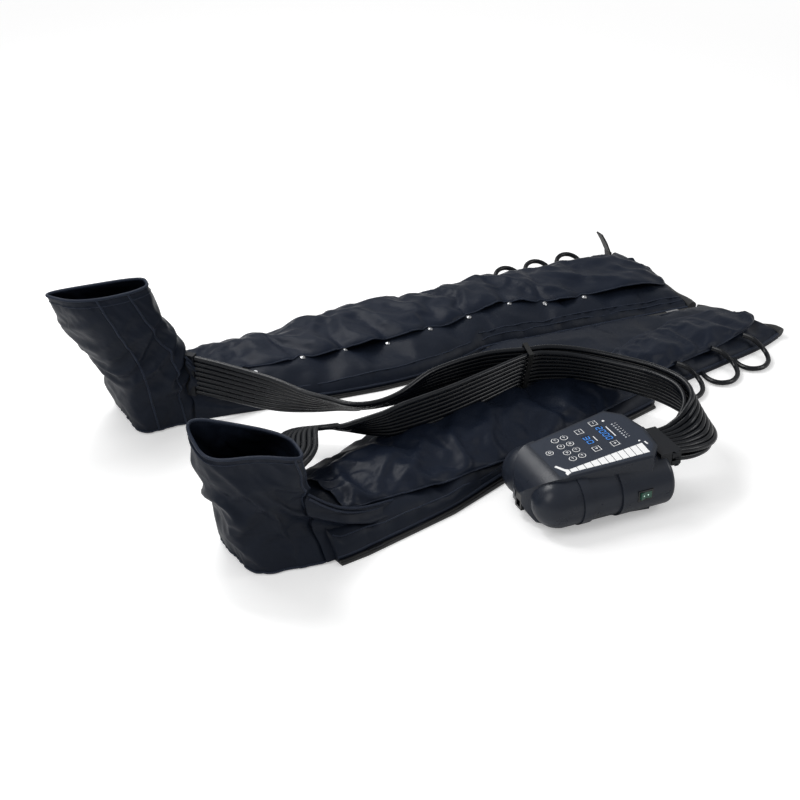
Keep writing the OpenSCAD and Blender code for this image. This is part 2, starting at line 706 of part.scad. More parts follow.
module casing_screws() color("#9a9da1") at_pump() {
    bosses(screw_r, screw_seat, screw_top);
    bosses(screw_head_r, screw_seat - screw_head_h, screw_seat);
}

module air_compressor() {
    color("#8a8d92") at_pump() translate([0, -barrel_y, axis_z]) {
        translate([motor_x[0], 0, 0]) rotate([0, 90, 0]) cylinder(r = motor_r, h = motor_x[1] - motor_x[0]);
        translate([nozzle_x, 0, 0]) rotate([-90, 0, 0]) cylinder(r = nozzle_r, h = barrel_y + nozzle_y);
    }
}

module inner_mounts() {
    color("#141517") at_pump() intersection() {
        for (m = mount_x) {
            translate([m[0], -barrel_y, axis_z]) rotate([0, 90, 0]) difference() {
                cylinder(r = rear_r, h = m[1] - m[0]);
                translate([0, 0, -1]) cylinder(r = motor_r, h = m[1] - m[0] + 2);
            }
            translate([m[0], barrel_y, axis_z]) difference() {
                rotate([0, 90, 0]) cylinder(r = rear_r, h = m[1] - m[0]);
                translate([-1, -supply_box[1] / 2, -supply_box[2] / 2])
                    cube([m[1] - m[0] + 2, supply_box[1], supply_box[2]]);
            }
        }
        both_sides() barrel(wall);
        translate([-far_reach / 2, -far_reach / 2, foot_t + wall]) cube(far_reach);
        union() {
            translate([-far_reach / 2, valve_y[0] - 1 - far_reach, 0]) cube(far_reach);
            translate([-far_reach / 2, valve_y[1] + 1, 0]) cube(far_reach);
        }
    }
}

module power_supply() color("#6f7377") at_pump()
    translate([supply_x, barrel_y - supply_box[1] / 2, axis_z - supply_box[2] / 2]) cube(supply_box);

module valve_block() {
    color("#b9bcc0") at_pump() {
        translate([valve_x[0], valve_y[0], valve_z[0]])
            cube([valve_x[1] - valve_x[0], valve_y[1] - valve_y[0], valve_z[1] - valve_z[0]]);
        translate([valve_x[1] - 10, valve_y[0], valve_z[1] - 20])
            cube([socket_x[0] - valve_x[1] + 10, valve_y[1] - valve_y[0], riser_top - valve_z[1] + 20]);
    }
}

module air_tube() {
    run = valve_y[0] - nozzle_y;
    color("#7d8186") at_pump() translate([nozzle_x, nozzle_y, axis_z]) rotate([-90, 0, 0]) difference() {
        cylinder(r = air_tube_r, h = run);
        translate([0, 0, -1]) cylinder(r = air_tube_r - 1, h = run + 2);
    }
}

module circuit_board() {
    color("#1f6b3a") difference() {
        at_face() translate([0, 0, board_top - board_t]) linear_extrude(board_t) intersection() {
            cape_plan(board_margin);
            translate([-64, -far_reach / 2]) square([64 + 91, far_reach]);
        }
        at_pump() bosses(boss_r + 0.5, axis_z, far_reach / 2);
    }
}

module key_switches() color("#c8c8c8") at_face() for (p = concat(round_keys, square_keys))
    translate([p[0], p[1], board_top]) {
        translate([-switch_side / 2, -switch_side / 2, 0]) cube([switch_side, switch_side, switch_body]);
        cylinder(r = switch_tip_r, h = switch_rise - key_travel - 0.1);
    }

// ---------- Trousers ----------

module port_room(p, turn, size) at_pump() translate([p[0], p[1], p[2]]) rotate([0, 0, turn])
    translate([0, -size[1] / 2, -size[2] / 2]) cube(size);
function far_port_size() = [port_l, port_t, ribbon_w + 4];
function near_port_size() = [port_l, ribbon_w + 4, port_t];

module leg(stations) at_garment() loft([for (s = stations) leg_ring(s, leg_steps)], strips = true);
module near_leg() color("#191a1d") leg(near_leg_stations);
module far_leg() color("#191a1d") leg(far_leg_stations);
module near_hose_port() color("#0f1012") port_room(near_end, end_turn(near_route), near_port_size());
module far_hose_port() color("#0f1012") port_room(far_end, end_turn(far_route), far_port_size());

// Walls of a foot section from one height to another, with its floor where it stands
function boot_part(rings, low, high) =
    concat([ring_at(rings, low)], [for (r = rings) if (r[0] > low && r[0] < high) r], [ring_at(rings, high)]);
module boot(rings, low, high) {
    hollow = boot_part(rings, max(low, boot_floor), high);
    last = len(hollow) - 1;
    difference() {
        loft([for (r = boot_part(rings, low, high)) boot_ring(r, 0)]);
        loft([for (i = [0:last])
            let (past = i == last ? tiny : i == 0 && low > 0 ? -tiny : 0)
            [for (p = boot_ring(hollow[i], boot_wall)) p + [0, 0, past]]]);
    }
}
module near_boot() color("#1b1c1f") difference() {
    at_garment() {
        difference() {
            boot(near_boot_rings, 0, near_boot_rings[4][0]);
            translate([near_leg_stations[0][0][0] - seam_gap, -200, -1]) cube([100, 500, 60]);
        }
    }
    port_room(near_end, end_turn(near_route), near_port_size());
}
module far_boot() color("#1b1c1f") difference() {
    at_garment() {
        difference() {
            boot(far_boot_rings, 0, cuff_z);
            translate([far_leg_stations[0][0][0] - seam_gap, 300, -1]) cube([100, 500, 62]);
        }
    }
    port_room(far_end, end_turn(far_route), far_port_size());
}
module far_boot_cuff() color("#1b1c1f") at_garment()
    boot(far_boot_rings, cuff_z + seam_gap, far_boot_rings[4][0]);

module flap(stations, spans) at_garment()
    loft([for (i = [0:len(spans) - 1]) flap_ring(stations[i + 1], spans[i], flap_steps)], strips = true);
module near_flap() color("#232529") flap(near_leg_stations, near_flap_span);
module far_flap() color("#232529") difference() {
    flap(far_leg_stations, far_flap_span);
    port_room(far_end, end_turn(far_route), far_port_size() + [1, 1, 1]);
}

// Tape beside a leg's near edge, as flat pieces from station a to station b
module edge_tape(stations, a, b) {
    inner = [for (i = [a:b]) stations[i][0] - [0, seam_gap]];
    outer = [for (i = [b:-1:a]) stations[i][0] - [0, zip_w]];
    linear_extrude(zip_t) polygon(concat(inner, outer));
}
module near_zip() color("#0c0d0f") at_garment() edge_tape(near_leg_stations, 0, 6);
module far_zip() color("#0c0d0f") at_garment() edge_tape(far_leg_stations, 1, 5);
module centre_zip() {
    color("#0c0d0f") at_garment() linear_extrude(edge_h - 1) polygon([
        on_centre(zip_x[0], 1) - [0, 2 * seam_gap], on_centre(zip_x[1], 1) - [0, 2 * seam_gap],
        on_centre(zip_x[1], -1) + [0, 2 * seam_gap], on_centre(zip_x[0], -1) + [0, 2 * seam_gap]]);
}

module slider(p, turn, base) at_garment() translate([p[0], p[1], base + 0.2]) rotate([0, 0, turn]) {
    translate([-slider_l / 2, -3.2, 0]) cube([slider_l, 6.4, slider_h - 1.5]);
    translate([-slider_l / 2 - 12, -2.4, slider_h - 3]) cube([18, 4.8, 1.6]);
}
// Slider on a leg's tape, past its second station by a share of the way to the third
module tape_slider(stations, share) {
    a = stations[1][0];
    b = stations[2][0];
    slider(mix(a, b, share) - [0, zip_w / 2 + 0.1], edge_turn(a, b), zip_t);
}
module near_zip_slider() color("#9a9da1") tape_slider(near_leg_stations, slider_share[0]);
module far_zip_slider() color("#9a9da1") tape_slider(far_leg_stations, slider_share[1]);
module centre_zip_slider() color("#9a9da1")
    slider([centre_slider_x, centre_y(centre_slider_x)], centre_turn(), edge_h - 1);

module snap_studs() color("#b9bcc0") at_garment() for (q = stud_places) {
    i = floor(q[0]);
    a = far_leg_stations[i];
    b = far_leg_stations[i + 1];
    s = [for (k = [0:2]) mix(a[k], b[k], q[0] - i)];
    translate(leg_point(s, q[1], leg_top(s, q[1] + snap_r / 260) + 0.1)) cylinder(r = snap_r, h = snap_h);
}

// Round tube along a route
function round_ring(p, h, r) = [for (i = [0:jumper_sides - 1])
    let (a = 360 * i / jumper_sides) place(p) + r * (cos(a) * level(h) + sin(a) * facing(h, 0))];
module tube_run(route, r) {
    c = curve(route, jumper_steps);
    loft([for (i = [0:len(c) - 1]) round_ring(c[i], heading(c, i), r)]);
}
// Jumper out of the far edge: two short legs and a half turn
module far_jumper() {
    for (s = [-1, 1]) translate([s * jumper_bend, -jumper_leg, 0]) rotate([-90, 0, 0])
        cylinder(r = jumper_r, h = jumper_leg - 3 * seam_gap - jumper_r * sin(jumper_tilt));
    translate([0, -jumper_leg, 0]) rotate([0, 0, 180]) rotate_extrude(angle = 180)
        translate([jumper_bend, 0]) circle(r = jumper_r, $fn = 24);
}
near_waist_turn = edge_turn(near_leg_stations[7][0], near_leg_stations[9][0]);
far_waist_turn = edge_turn(far_leg_stations[8][1], far_leg_stations[11][1]);
module near_jumper_tubes() {
    color("#101113") at_garment() for (x = near_jumpers)
        translate(near_waist_edge(x)) rotate([0, 0, near_waist_turn]) tube_run(near_jumper_route, jumper_r);
}
module far_jumper_tubes() {
    color("#101113") at_garment() for (t = far_jumpers)
        translate(mix(far_leg_stations[8][1], far_leg_stations[11][1], t)) translate([0, 0, jumper_r + 1])
            rotate([0, 0, far_waist_turn + 180]) rotate([-jumper_tilt, 0, 0]) far_jumper();
}

// Binding along the open waist edge of each half
module waist_piece(a, b) {
    d = unit(b - a);
    out = [d[1], -d[0]];
    linear_extrude(binding_h)
        polygon([a + seam_gap * out, a + binding_w * out, b + binding_w * out, b + seam_gap * out]);
}
module waist_binding() color("#0e0f11") at_garment() {
    n = near_leg_stations[10];
    f = far_leg_stations[11];
    waist_piece(n[0], n[1]);
    waist_piece(f[0], f[1]);
}
module waist_strap() {
    f = far_leg_stations[11];
    d = unit(f[1] - f[0]);
    foot = f[1] + d * (strap_w + 3 * seam_gap);
    color("#0e0f11") at_garment() translate([foot[0], foot[1], 0]) rotate([90, 0, atan2(-d[0], d[1])])
        mirror([1, 0, 0]) linear_extrude(strap_w) polygon(strap_side);
}

// ---------- Hose ribbons ----------

module ribbon(route) {
    c = curve(route, rings_a_span);
    last = len(c) - 1;
    turn = end_turn(route);
    start = ribbon_ring(c[0], [1, 0, 0]);
    end = ribbon_ring(c[last], [cos(turn), sin(turn), 0]);
    loft(concat([start], [for (i = [1:last - 1]) ribbon_ring(c[i], heading(c, i))], [end]));
}
module far_hose() color("#1c1d20") at_pump() ribbon(far_route);
module near_hose() color("#1c1d20") at_pump() ribbon(near_route);

// A band round both ribbons where they part
module hose_tie() {
    q = trunk_route[len(trunk_route) - 1];
    h = heading(concat(trunk_route, [[-5, 270, 94, 90]]), len(trunk_route) - 1);
    t = 2 * ribbon_offset + ribbon_t + 2 * tie_gap;
    tall = ribbon_w + 2 * tie_gap;
    color("#0e0f11") at_pump() translate(place(q)) rotate([0, 0, atan2(h[1], h[0])])
        rotate([q[3] - 90, 0, 0]) difference() {
        cube([tie_w, t + 2 * tie_t, tall + 2 * tie_t], center = true);
        cube([tie_w + 2, t, tall], center = true);
    }
}

casing_lower();
casing_upper();
control_overlay();
time_display();
pressure_display();
chamber_bar();
indicator_lamps();
for (i = [0:8]) round_key(i);
for (i = [0:3]) square_key(i);
switch_frame();
power_rocker();
power_inlet();
hose_socket();
far_hose_plug();
near_hose_plug();
far_plug_latch();
near_plug_latch();
rubber_feet();
casing_screws();
air_compressor();
inner_mounts();
valve_block();
air_tube();
circuit_board();
key_switches();
power_supply();
near_leg();
far_leg();
near_boot();
far_boot();
far_boot_cuff();
near_flap();
far_flap();
near_zip();
far_zip();
centre_zip();
near_zip_slider();
far_zip_slider();
centre_zip_slider();
snap_studs();
near_jumper_tubes();
far_jumper_tubes();
waist_binding();
waist_strap();
near_hose_port();
far_hose_port();
near_hose();
far_hose();
hose_tie();
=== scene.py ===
"""Looks of a compression therapy pump with its hose sets and trousers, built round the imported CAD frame.

Every length is in metres in the row frame: the centre of the whole set on the floor, +X towards the
waist end, +Z up. Points that the CAD source gives in millimetres are kept in millimetres here and
turned to metres where they are used.
"""

import math

import bmesh
import bpy
from bpy.props import FloatProperty, FloatVectorProperty, PointerProperty, StringProperty
from mathutils import Matrix, Vector, noise
from mathutils.bvhtree import BVHTree


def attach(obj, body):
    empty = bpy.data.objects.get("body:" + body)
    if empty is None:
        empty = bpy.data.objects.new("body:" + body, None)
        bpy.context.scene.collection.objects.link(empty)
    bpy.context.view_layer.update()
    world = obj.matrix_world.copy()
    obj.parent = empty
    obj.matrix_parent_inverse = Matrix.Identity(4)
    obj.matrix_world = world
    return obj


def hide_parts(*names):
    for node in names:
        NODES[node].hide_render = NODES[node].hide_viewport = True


bl_info = {
    "name": "Compression therapy pump set",
    "version": (1, 0, 0),
    "blender": (4, 5, 0),
    "location": "View3D > Sidebar > Pump set",
    "description": "Finishes, hoses, trousers and stage of a compression therapy pump set",
    "category": "Object",
}

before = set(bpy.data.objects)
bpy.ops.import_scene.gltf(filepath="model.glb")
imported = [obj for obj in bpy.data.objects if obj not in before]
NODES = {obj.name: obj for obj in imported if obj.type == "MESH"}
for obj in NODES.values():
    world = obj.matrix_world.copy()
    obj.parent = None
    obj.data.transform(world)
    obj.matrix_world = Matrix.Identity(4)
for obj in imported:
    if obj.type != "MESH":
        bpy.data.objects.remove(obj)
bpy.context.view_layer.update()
BODY = "pump_and_trousers"

# ---------- Places from the CAD source, in millimetres ----------

PUMP = Vector((39.5, -338.3, 0))
GARMENT = Vector((-481.5, -324.3, 0))
GARMENT_TURN = math.radians(15)
FACE_HEIGHT = 96
FACE_TILT = math.radians(5.7)
CENTRE_A = (708, 304)
CENTRE_B = (1128, 178)
CENTRE_HALF = 7.7

# Ribbon route from the pump's centre: x, y, z and roll; roll 90 stands on edge
TRUNK = [(168, -18, 78, 10), (200, -4, 82, 31), (224, 30, 87, 57), (231, 80, 90, 68), (214, 138, 90, 68),
         (178, 192, 90, 66), (132, 240, 91, 66), (85, 264, 93, 70), (40, 270, 94, 74)]
FAR_BRANCH = [(-30, 298, 92, 72), (-130, 286, 92, 66), (-212, 264, 90, 42), (-261, 264, 90, 35),
              (-293, 289, 88, 42), (-332, 317, 88, 56), (-381, 364, 90, 80), (-440, 434, 90, 88),
              (-474, 470, 91, 90)]
NEAR_BRANCH = [(-54, 236, 92, 78), (-132, 217, 90, 78), (-216, 203, 90, 74), (-260, 202, 90, 58),
               (-314, 216, 90, 34), (-340, 220, 94, 30), (-390, 204, 106, 24), (-419, 145, 114, 10),
               (-439, 124, 117, 2), (-450, 118, 118, 0)]
PLUG_OUT = {"far": (138, -20, 84, 0), "near": (138, -20, 71, 0)}
RIBBON_OFFSET = 7.1
TUBE_PITCH = 9
TUBES = 8


def near_waist_edge(x):
    return (x, 0.8 - 0.016 * (x - 846))


def on_centre(x, side):
    """A place beside the centre zip, on its far (1) or near (-1) side."""
    share = (x - CENTRE_A[0]) / (CENTRE_B[0] - CENTRE_A[0])
    turn = math.atan2(CENTRE_B[1] - CENTRE_A[1], CENTRE_B[0] - CENTRE_A[0])
    return (x, CENTRE_A[1] + (CENTRE_B[1] - CENTRE_A[1]) * share + side * CENTRE_HALF / math.cos(turn))


# Each leg in stations: near edge, far edge, height of the padding
NEAR_LEG = [((104, -44), (104, 152), 56), ((150, -48), (152, 164), 48), ((320, -46), (328, 196), 42),
            ((453, -28), (450, 234), 42), ((600, -26), (600, 272), 42),
            ((708, -24), on_centre(708, -1), 42),
            ((800, -20), on_centre(800, -1), 42), (near_waist_edge(846), on_centre(880, -1), 39),
            (near_waist_edge(1000), on_centre(1000, -1), 34),
            (near_waist_edge(1110), on_centre(1090, -1), 30),
            ((1172, 4), on_centre(1128, -1), 22)]
FAR_LEG = [((172, 436), (172, 606), 56), ((205, 428), (235, 612), 48), ((393, 351), (366, 593), 42),
           ((470, 325), (460, 592), 42), ((546, 308), (548, 588), 42), ((640, 306), (620, 566), 42),
           (on_centre(712, 1), (688, 544), 42), (on_centre(790, 1), (827, 520), 42),
           (on_centre(880, 1), (935, 495), 38), (on_centre(1000, 1), (1054, 471), 32),
           (on_centre(1080, 1), (1130, 455.5), 28), (on_centre(1126, 1), (1181, 445), 22)]
# Share of the width where each flap starts and ends, from the second station on
NEAR_FLAP = [(0.26, 0.72), (0.13, 0.80), (0.05, 0.72), (0.05, 0.60), (0.06, 0.48), (0.07, 0.38),
             (0.09, 0.44), (0.11, 0.60), (0.19, 0.61), (0.34, 0.46)]
FAR_FLAP = [(0.26, 0.90), (0.335, 0.94), (0.34, 0.95), (0.325, 0.95), (0.295, 0.95), (0.28, 0.95),
            (0.375, 0.95), (0.275, 0.95), (0.265, 0.95), (0.26, 0.95), (0.30, 0.94)]
# Stations along the far leg of the studs at its flap's free edge
STUDS = (1.46, 1.96, 2.92, 3.96, 4.94, 6.14, 7.12, 7.8, 8.48)
STUD_SHARES = (0.22, 0.304, 0.309, 0.295, 0.264, 0.251, 0.329, 0.258, 0.231)
# Foot sections: height, corner softness, and the heel, near, far and back corners
NEAR_BOOT = [(0, 0.35, (-10, 6), (104.5, -42), (104.5, 148), (2, 124)),
             (55, 0.45, (-22, 14), (100, -14), (104.5, 146), (-10, 134)),
             (110, 0.5, (-34, 24), (78, -32), (90, 112), (-26, 126)),
             (165, 0.5, (-46, 34), (60, -48), (78, 62), (-42, 124)),
             (212, 0.6, (-54, 44), (44, -62), (60, 8), (-46, 122))]
FAR_BOOT = [(0, 0.35, (62, 450), (172.5, 428), (172.5, 604), (92, 592)),
            (70, 0.45, (48, 448), (167.5, 428), (169.5, 583), (58, 582)),
            (140, 0.5, (26, 444), (158, 428), (160, 558), (16, 566)),
            (210, 0.5, (-4, 440), (118, 424), (128, 500), (-34, 536)),
            (280, 0.5, (-34, 446), (86, 418), (98, 458), (-66, 494))]

ROUND_KEYS = [(-54, 14), (-31, 39), (-31, 20), (-31, 1), (-31, -17), (-15, 39), (-15, 20), (-15, 1),
              (-15, -17)]
SQUARE_KEYS = [(13, 41), (13, -13), (43, 50), (44, -15)]
TIME_WINDOW = ((44.5, 18), (13, 44))
PRESSURE_WINDOW = ((14, 14), (12, 26))
LAMPS = [(67, 33 - 6 * i) for i in range(8)]


# ---------- Frames and curves ----------


def pump(x, y, z):
    """A place from the pump's centre, in millimetres, as a point in the row frame."""
    return (PUMP + Vector((x, y, z))) * 0.001


def face(x, y, z=0.0):
    """A place on the control face, z above it."""
    c, s = math.cos(FACE_TILT), math.sin(FACE_TILT)
    return pump(x * c - z * s, y, FACE_HEIGHT + x * s + z * c)


def garment(x, y, z=0.0):
    """A place in the trousers' own frame as a point in the row frame."""
    c, s = math.cos(GARMENT_TURN), math.sin(GARMENT_TURN)
    return (GARMENT + Vector((x * c - y * s, x * s + y * c, z))) * 0.001


def mix(a, b, t):
    return a + (b - a) * t


def spline_at(points, i, t):
    """Catmull-Rom curve: the point at share t between points[i] and points[i + 1]."""
    last = len(points) - 1
    a, b, c, d = (points[min(max(i + k, 0), last)] for k in (-1, 0, 1, 2))
    return 0.5 * (2 * b + (c - a) * t + (2 * a - 5 * b + 4 * c - d) * t * t
                  + (3 * b - a - 3 * c + d) * t ** 3)


def spline(points, steps):
    """Points along the curve, steps to a span."""
    points = [Vector(p) for p in points]
    line = [spline_at(points, i, j / steps) for i in range(len(points) - 1) for j in range(steps)]
    return line + [points[-1]]


def heading(line, i):
    a, b = line[max(i - 1, 0)], line[min(i + 1, len(line) - 1)]
    return (Vector(b[:3]) - Vector(a[:3])).normalized()


def across(h, roll):
    """Across the ribbon at a heading and a roll in degrees."""
    level = Vector((-h.y, h.x, 0)).normalized()
    return math.cos(math.radians(roll)) * level + math.sin(math.radians(roll)) * h.cross(level)


# ---------- Pieces ----------


def add_piece(name, bm, material, replaces=(), body=BODY, sharp=None):
    """Makes a piece of a bmesh, shades it and lets it ride on its body."""
    mesh = bpy.data.meshes.new(name)
    bm.to_mesh(mesh)
    bm.free()
    obj = bpy.data.objects.new(name, mesh)
    bpy.context.scene.collection.objects.link(obj)
    mesh.materials.append(material)
    for polygon in mesh.polygons:
        polygon.use_smooth = True
    if sharp is not None:
        mesh.set_sharp_from_angle(angle=math.radians(sharp))
    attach(obj, body)
    if replaces:
        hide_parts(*replaces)
    return obj


def add_tube(name, points, radius, material, replaces=(), closed=False, sides=3):
    """A round tube or piping along points, as a curve of one spline."""
    curve = bpy.data.curves.new(name, "CURVE")
    curve.dimensions = "3D"
    curve.bevel_depth = radius
    curve.bevel_resolution = sides
    curve.use_fill_caps = not closed
    line = curve.splines.new("POLY")
    line.points.add(len(points) - 1)
    for place, point in zip(line.points, points):
        place.co = (*point, 1)
    line.use_cyclic_u = closed
    line.use_smooth = True
    obj = bpy.data.objects.new(name, curve)
    bpy.context.scene.collection.objects.link(obj)
    curve.materials.append(material)
    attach(obj, BODY)
    if replaces:
        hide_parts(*replaces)
    return obj


# ---------- Materials ----------


def colour(hex_value):
    """sRGB hex to linear RGBA."""
    channels = [int(hex_value[i:i + 2], 16) / 255 for i in (1, 3, 5)]
    return tuple(c / 12.92 if c <= 0.04045 else ((c + 0.055) / 1.055) ** 2.4 for c in channels) + (1.0,)


def add_node(tree, kind, settings=None, **inputs):
    """Adds a node with its settings, and sets or links its inputs."""
    node = tree.nodes.new(kind)
    for key, value in (settings or {}).items():
        setattr(node, key, value)
    for key, value in inputs.items():
        by_place = key[0] == "i" and key[1:].isdigit()
        socket = node.inputs[int(key[1:]) if by_place else key.replace("_", " ")]
        if isinstance(value, bpy.types.NodeSocket):
            tree.links.new(value, socket)
        else:
            socket.default_value = value
    return node


def new_material(name, **shader_values):
    """An empty node material with its Principled shader and output."""
    material = bpy.data.materials.new(name)
    material.use_nodes = True
    tree = material.node_tree
    tree.nodes.clear()
    shader = add_node(tree, "ShaderNodeBsdfPrincipled", None, **shader_values)
    add_node(tree, "ShaderNodeOutputMaterial", None, Surface=shader.outputs["BSDF"])
    return material, tree, shader


def speckle(tree, shader, low, high, roughness, grain, bump, patch=0.03):
    """Gives a shader a slightly uneven colour and gloss and a fine grain, with grain in metres."""
    coords = add_node(tree, "ShaderNodeTexCoord").outputs["Object"]
    patches = add_node(tree, "ShaderNodeTexNoise", None, Vector=coords, Scale=1 / patch, Detail=4.0)
    shade = add_node(tree, "ShaderNodeMixRGB", None, Fac=patches.outputs["Fac"], Color1=colour(low),
                     Color2=colour(high))
    tree.links.new(shade.outputs["Color"], shader.inputs["Base Color"])
    gloss = add_node(tree, "ShaderNodeMapRange", None, Value=patches.outputs["Fac"], From_Min=0.3,
                     From_Max=0.7,
                     To_Min=roughness - 0.04, To_Max=roughness + 0.04)
    tree.links.new(gloss.outputs["Result"], shader.inputs["Roughness"])
    fine = add_node(tree, "ShaderNodeTexNoise", None, Vector=coords, Scale=1 / grain, Detail=2.0)
    relief = add_node(tree, "ShaderNodeBump", None, Height=fine.outputs["Fac"], Strength=bump,
                      Distance=grain * 0.2)
    tree.links.new(relief.outputs["Normal"], shader.inputs["Normal"])


MATERIALS = {}


def moulded(name, low, high, roughness, grain=0.0006, bump=0.12, **values):
    """Moulded plastic or rubber: an even colour with a spark-eroded grain."""
    material, tree, shader = new_material(name, **values)
    speckle(tree, shader, low, high, roughness, grain, bump)
    MATERIALS[name] = material
    return material


def lit(name, hex_value, strength):
    """A glowing window, segment or mark: back-lit in the display and the rocker, and painted light where it
    brightens the rocker's marks.
    """
    material, tree, shader = new_material(name, Roughness=0.35)
    coords = add_node(tree, "ShaderNodeTexCoord").outputs["Object"]
    cloud = add_node(tree, "ShaderNodeTexNoise", None, Vector=coords, Scale=400.0)
    shade = add_node(tree, "ShaderNodeMixRGB", None, Fac=cloud.outputs["Fac"], Color1=colour(hex_value),
                     Color2=colour(hex_value))
    bright = add_node(tree, "ShaderNodeBrightContrast", None, Color=shade.outputs["Color"], Bright=0.02)
    tree.links.new(bright.outputs["Color"], shader.inputs["Base Color"])
    tree.links.new(bright.outputs["Color"], shader.inputs["Emission Color"])
    shader.inputs["Emission Strength"].default_value = strength
    MATERIALS[name] = material
    return material


def coated_nylon(name, low, high, thread, roughness):
    """Coated nylon taffeta: a plain weave under a thin coat, so folds catch a soft, wide highlight."""
    material, tree, shader = new_material(name, Specular_IOR_Level=0.14)
    coords = add_node(tree, "ShaderNodeTexCoord").outputs["UV"]
    patches = add_node(tree, "ShaderNodeTexNoise", None, Vector=coords, Scale=14.0, Detail=5.0)
    shade = add_node(tree, "ShaderNodeMixRGB", None, Fac=patches.outputs["Fac"], Color1=colour(low),
                     Color2=colour(high))
    tree.links.new(shade.outputs["Color"], shader.inputs["Base Color"])
    gloss = add_node(tree, "ShaderNodeMapRange", None, Value=patches.outputs["Fac"], From_Min=0.3,
                     From_Max=0.7,
                     To_Min=roughness - 0.06, To_Max=roughness + 0.06)
    tree.links.new(gloss.outputs["Result"], shader.inputs["Roughness"])
    bands = 0.314 / thread
    warp = add_node(tree, "ShaderNodeTexWave", {"bands_direction": "X"}, Vector=coords, Scale=bands,
                    Distortion=0.3)
    weft = add_node(tree, "ShaderNodeTexWave", {"bands_direction": "Y"}, Vector=coords, Scale=bands,
                    Distortion=0.3)
    weave = add_node(tree, "ShaderNodeMath", {"operation": "MULTIPLY"}, i0=warp.outputs["Fac"],
                     i1=weft.outputs["Fac"])
    pucker = add_node(tree, "ShaderNodeTexNoise", None, Vector=coords, Scale=60.0, Detail=3.0)
    soft = add_node(tree, "ShaderNodeBump", None, Height=pucker.outputs["Fac"], Strength=0.3,
                    Distance=0.003)
    relief = add_node(tree, "ShaderNodeBump", None, Height=weave.outputs["Value"], Strength=0.2,
                      Distance=0.0002,
                      Normal=soft.outputs["Normal"])
    tree.links.new(relief.outputs["Normal"], shader.inputs["Normal"])
    MATERIALS[name] = material
    return material


def webbing(name, low, high, rib):
    """Woven polyester tape: raised ribs across it and a dull, slightly dusty black."""
    material, tree, shader = new_material(name, Roughness=0.7, Sheen_Weight=0.2)
    coords = add_node(tree, "ShaderNodeTexCoord").outputs["Object"]
    turned = add_node(tree, "ShaderNodeMapping", None, Vector=coords, Rotation=(0, 0, math.radians(40)))
    ribs = add_node(tree, "ShaderNodeTexWave", None, Vector=turned.outputs["Vector"], Scale=0.314 / rib,
                    Distortion=0.6)
    shade = add_node(tree, "ShaderNodeMixRGB", None, Fac=ribs.outputs["Fac"], Color1=colour(low),
                     Color2=colour(high))
    tree.links.new(shade.outputs["Color"], shader.inputs["Base Color"])
    relief = add_node(tree, "ShaderNodeBump", None, Height=ribs.outputs["Fac"], Strength=0.5,
                      Distance=0.0004)
    tree.links.new(relief.outputs["Normal"], shader.inputs["Normal"])
    MATERIALS[name] = material
    return material


def metal(name, hex_value, roughness, grain):
    """Plated or cast metal with fine wear."""
    material, tree, shader = new_material(name, Metallic=1.0)
    speckle(tree, shader, hex_value, hex_value, roughness, grain, 0.08, patch=0.01)
    MATERIALS[name] = material
    return material


def dress(node, material):
    """Gives a CAD node its finish."""
    slots = NODES[node].data.materials
    slots.clear()
    slots.append(material)


# ---------- Properties ----------


class PumpLooks(bpy.types.PropertyGroup):
    """Finish of the pump casing and its control face."""

    casing_low: StringProperty(name="Casing colour, dark",
                               description="sRGB hex of the casing's darker patches", default="#22262f")
    casing_high: StringProperty(name="Casing colour, light",
                                description="sRGB hex of the casing's lighter patches", default="#272c36")
    casing_gloss: FloatProperty(name="Casing roughness", description="Roughness of the moulded casing",
                                default=0.3, min=0.1, max=0.9)
    lit_blue: StringProperty(name="Display colour", description="sRGB hex of the lit digits",
                             default="#1b6fc0")
    print_lift: FloatProperty(name="Print thickness",
                              description="Height of the printed marks above the overlay",
                              default=0.00012, min=0.00005, max=0.0005, subtype="DISTANCE", unit="LENGTH")


class HoseLooks(bpy.types.PropertyGroup):
    """Sizes of the bonded air tubes."""

    tube_radius: FloatProperty(name="Tube radius", description="Outer radius of one air tube",
                               default=0.0045,
                               min=0.003, max=0.006, subtype="DISTANCE", unit="LENGTH")


class TrouserLooks(bpy.types.PropertyGroup):
    """Cloth of the trousers."""

    thread: FloatProperty(name="Thread spacing", description="Spacing of the drawn weave", default=0.0012,
                          min=0.0004, max=0.004, subtype="DISTANCE", unit="LENGTH")
    flap_grow: FloatProperty(name="Flap fullness",
                             description="Share by which the flap cloth is larger than its place",
                             default=0.05,
                             min=0.0, max=0.15, subtype="FACTOR")
    leg_grow: FloatProperty(name="Leg fullness",
                            description="Share by which the leg cloth is larger than its place",
                            default=0.025,
                            min=0.0, max=0.1, subtype="FACTOR")


class StageLooks(bpy.types.PropertyGroup):
    """Floor and light."""

    floor_colour: FloatVectorProperty(name="Floor colour", description="Linear colour of the floor",
                                      default=(0.88, 0.88, 0.88),
                                      subtype="COLOR", min=0, max=1)
    lamp_power: FloatProperty(name="Softbox power", description="Power of the main softbox", default=20.0,
                              min=0, max=200,
                              subtype="POWER", unit="POWER")


# ---------- Stage ----------


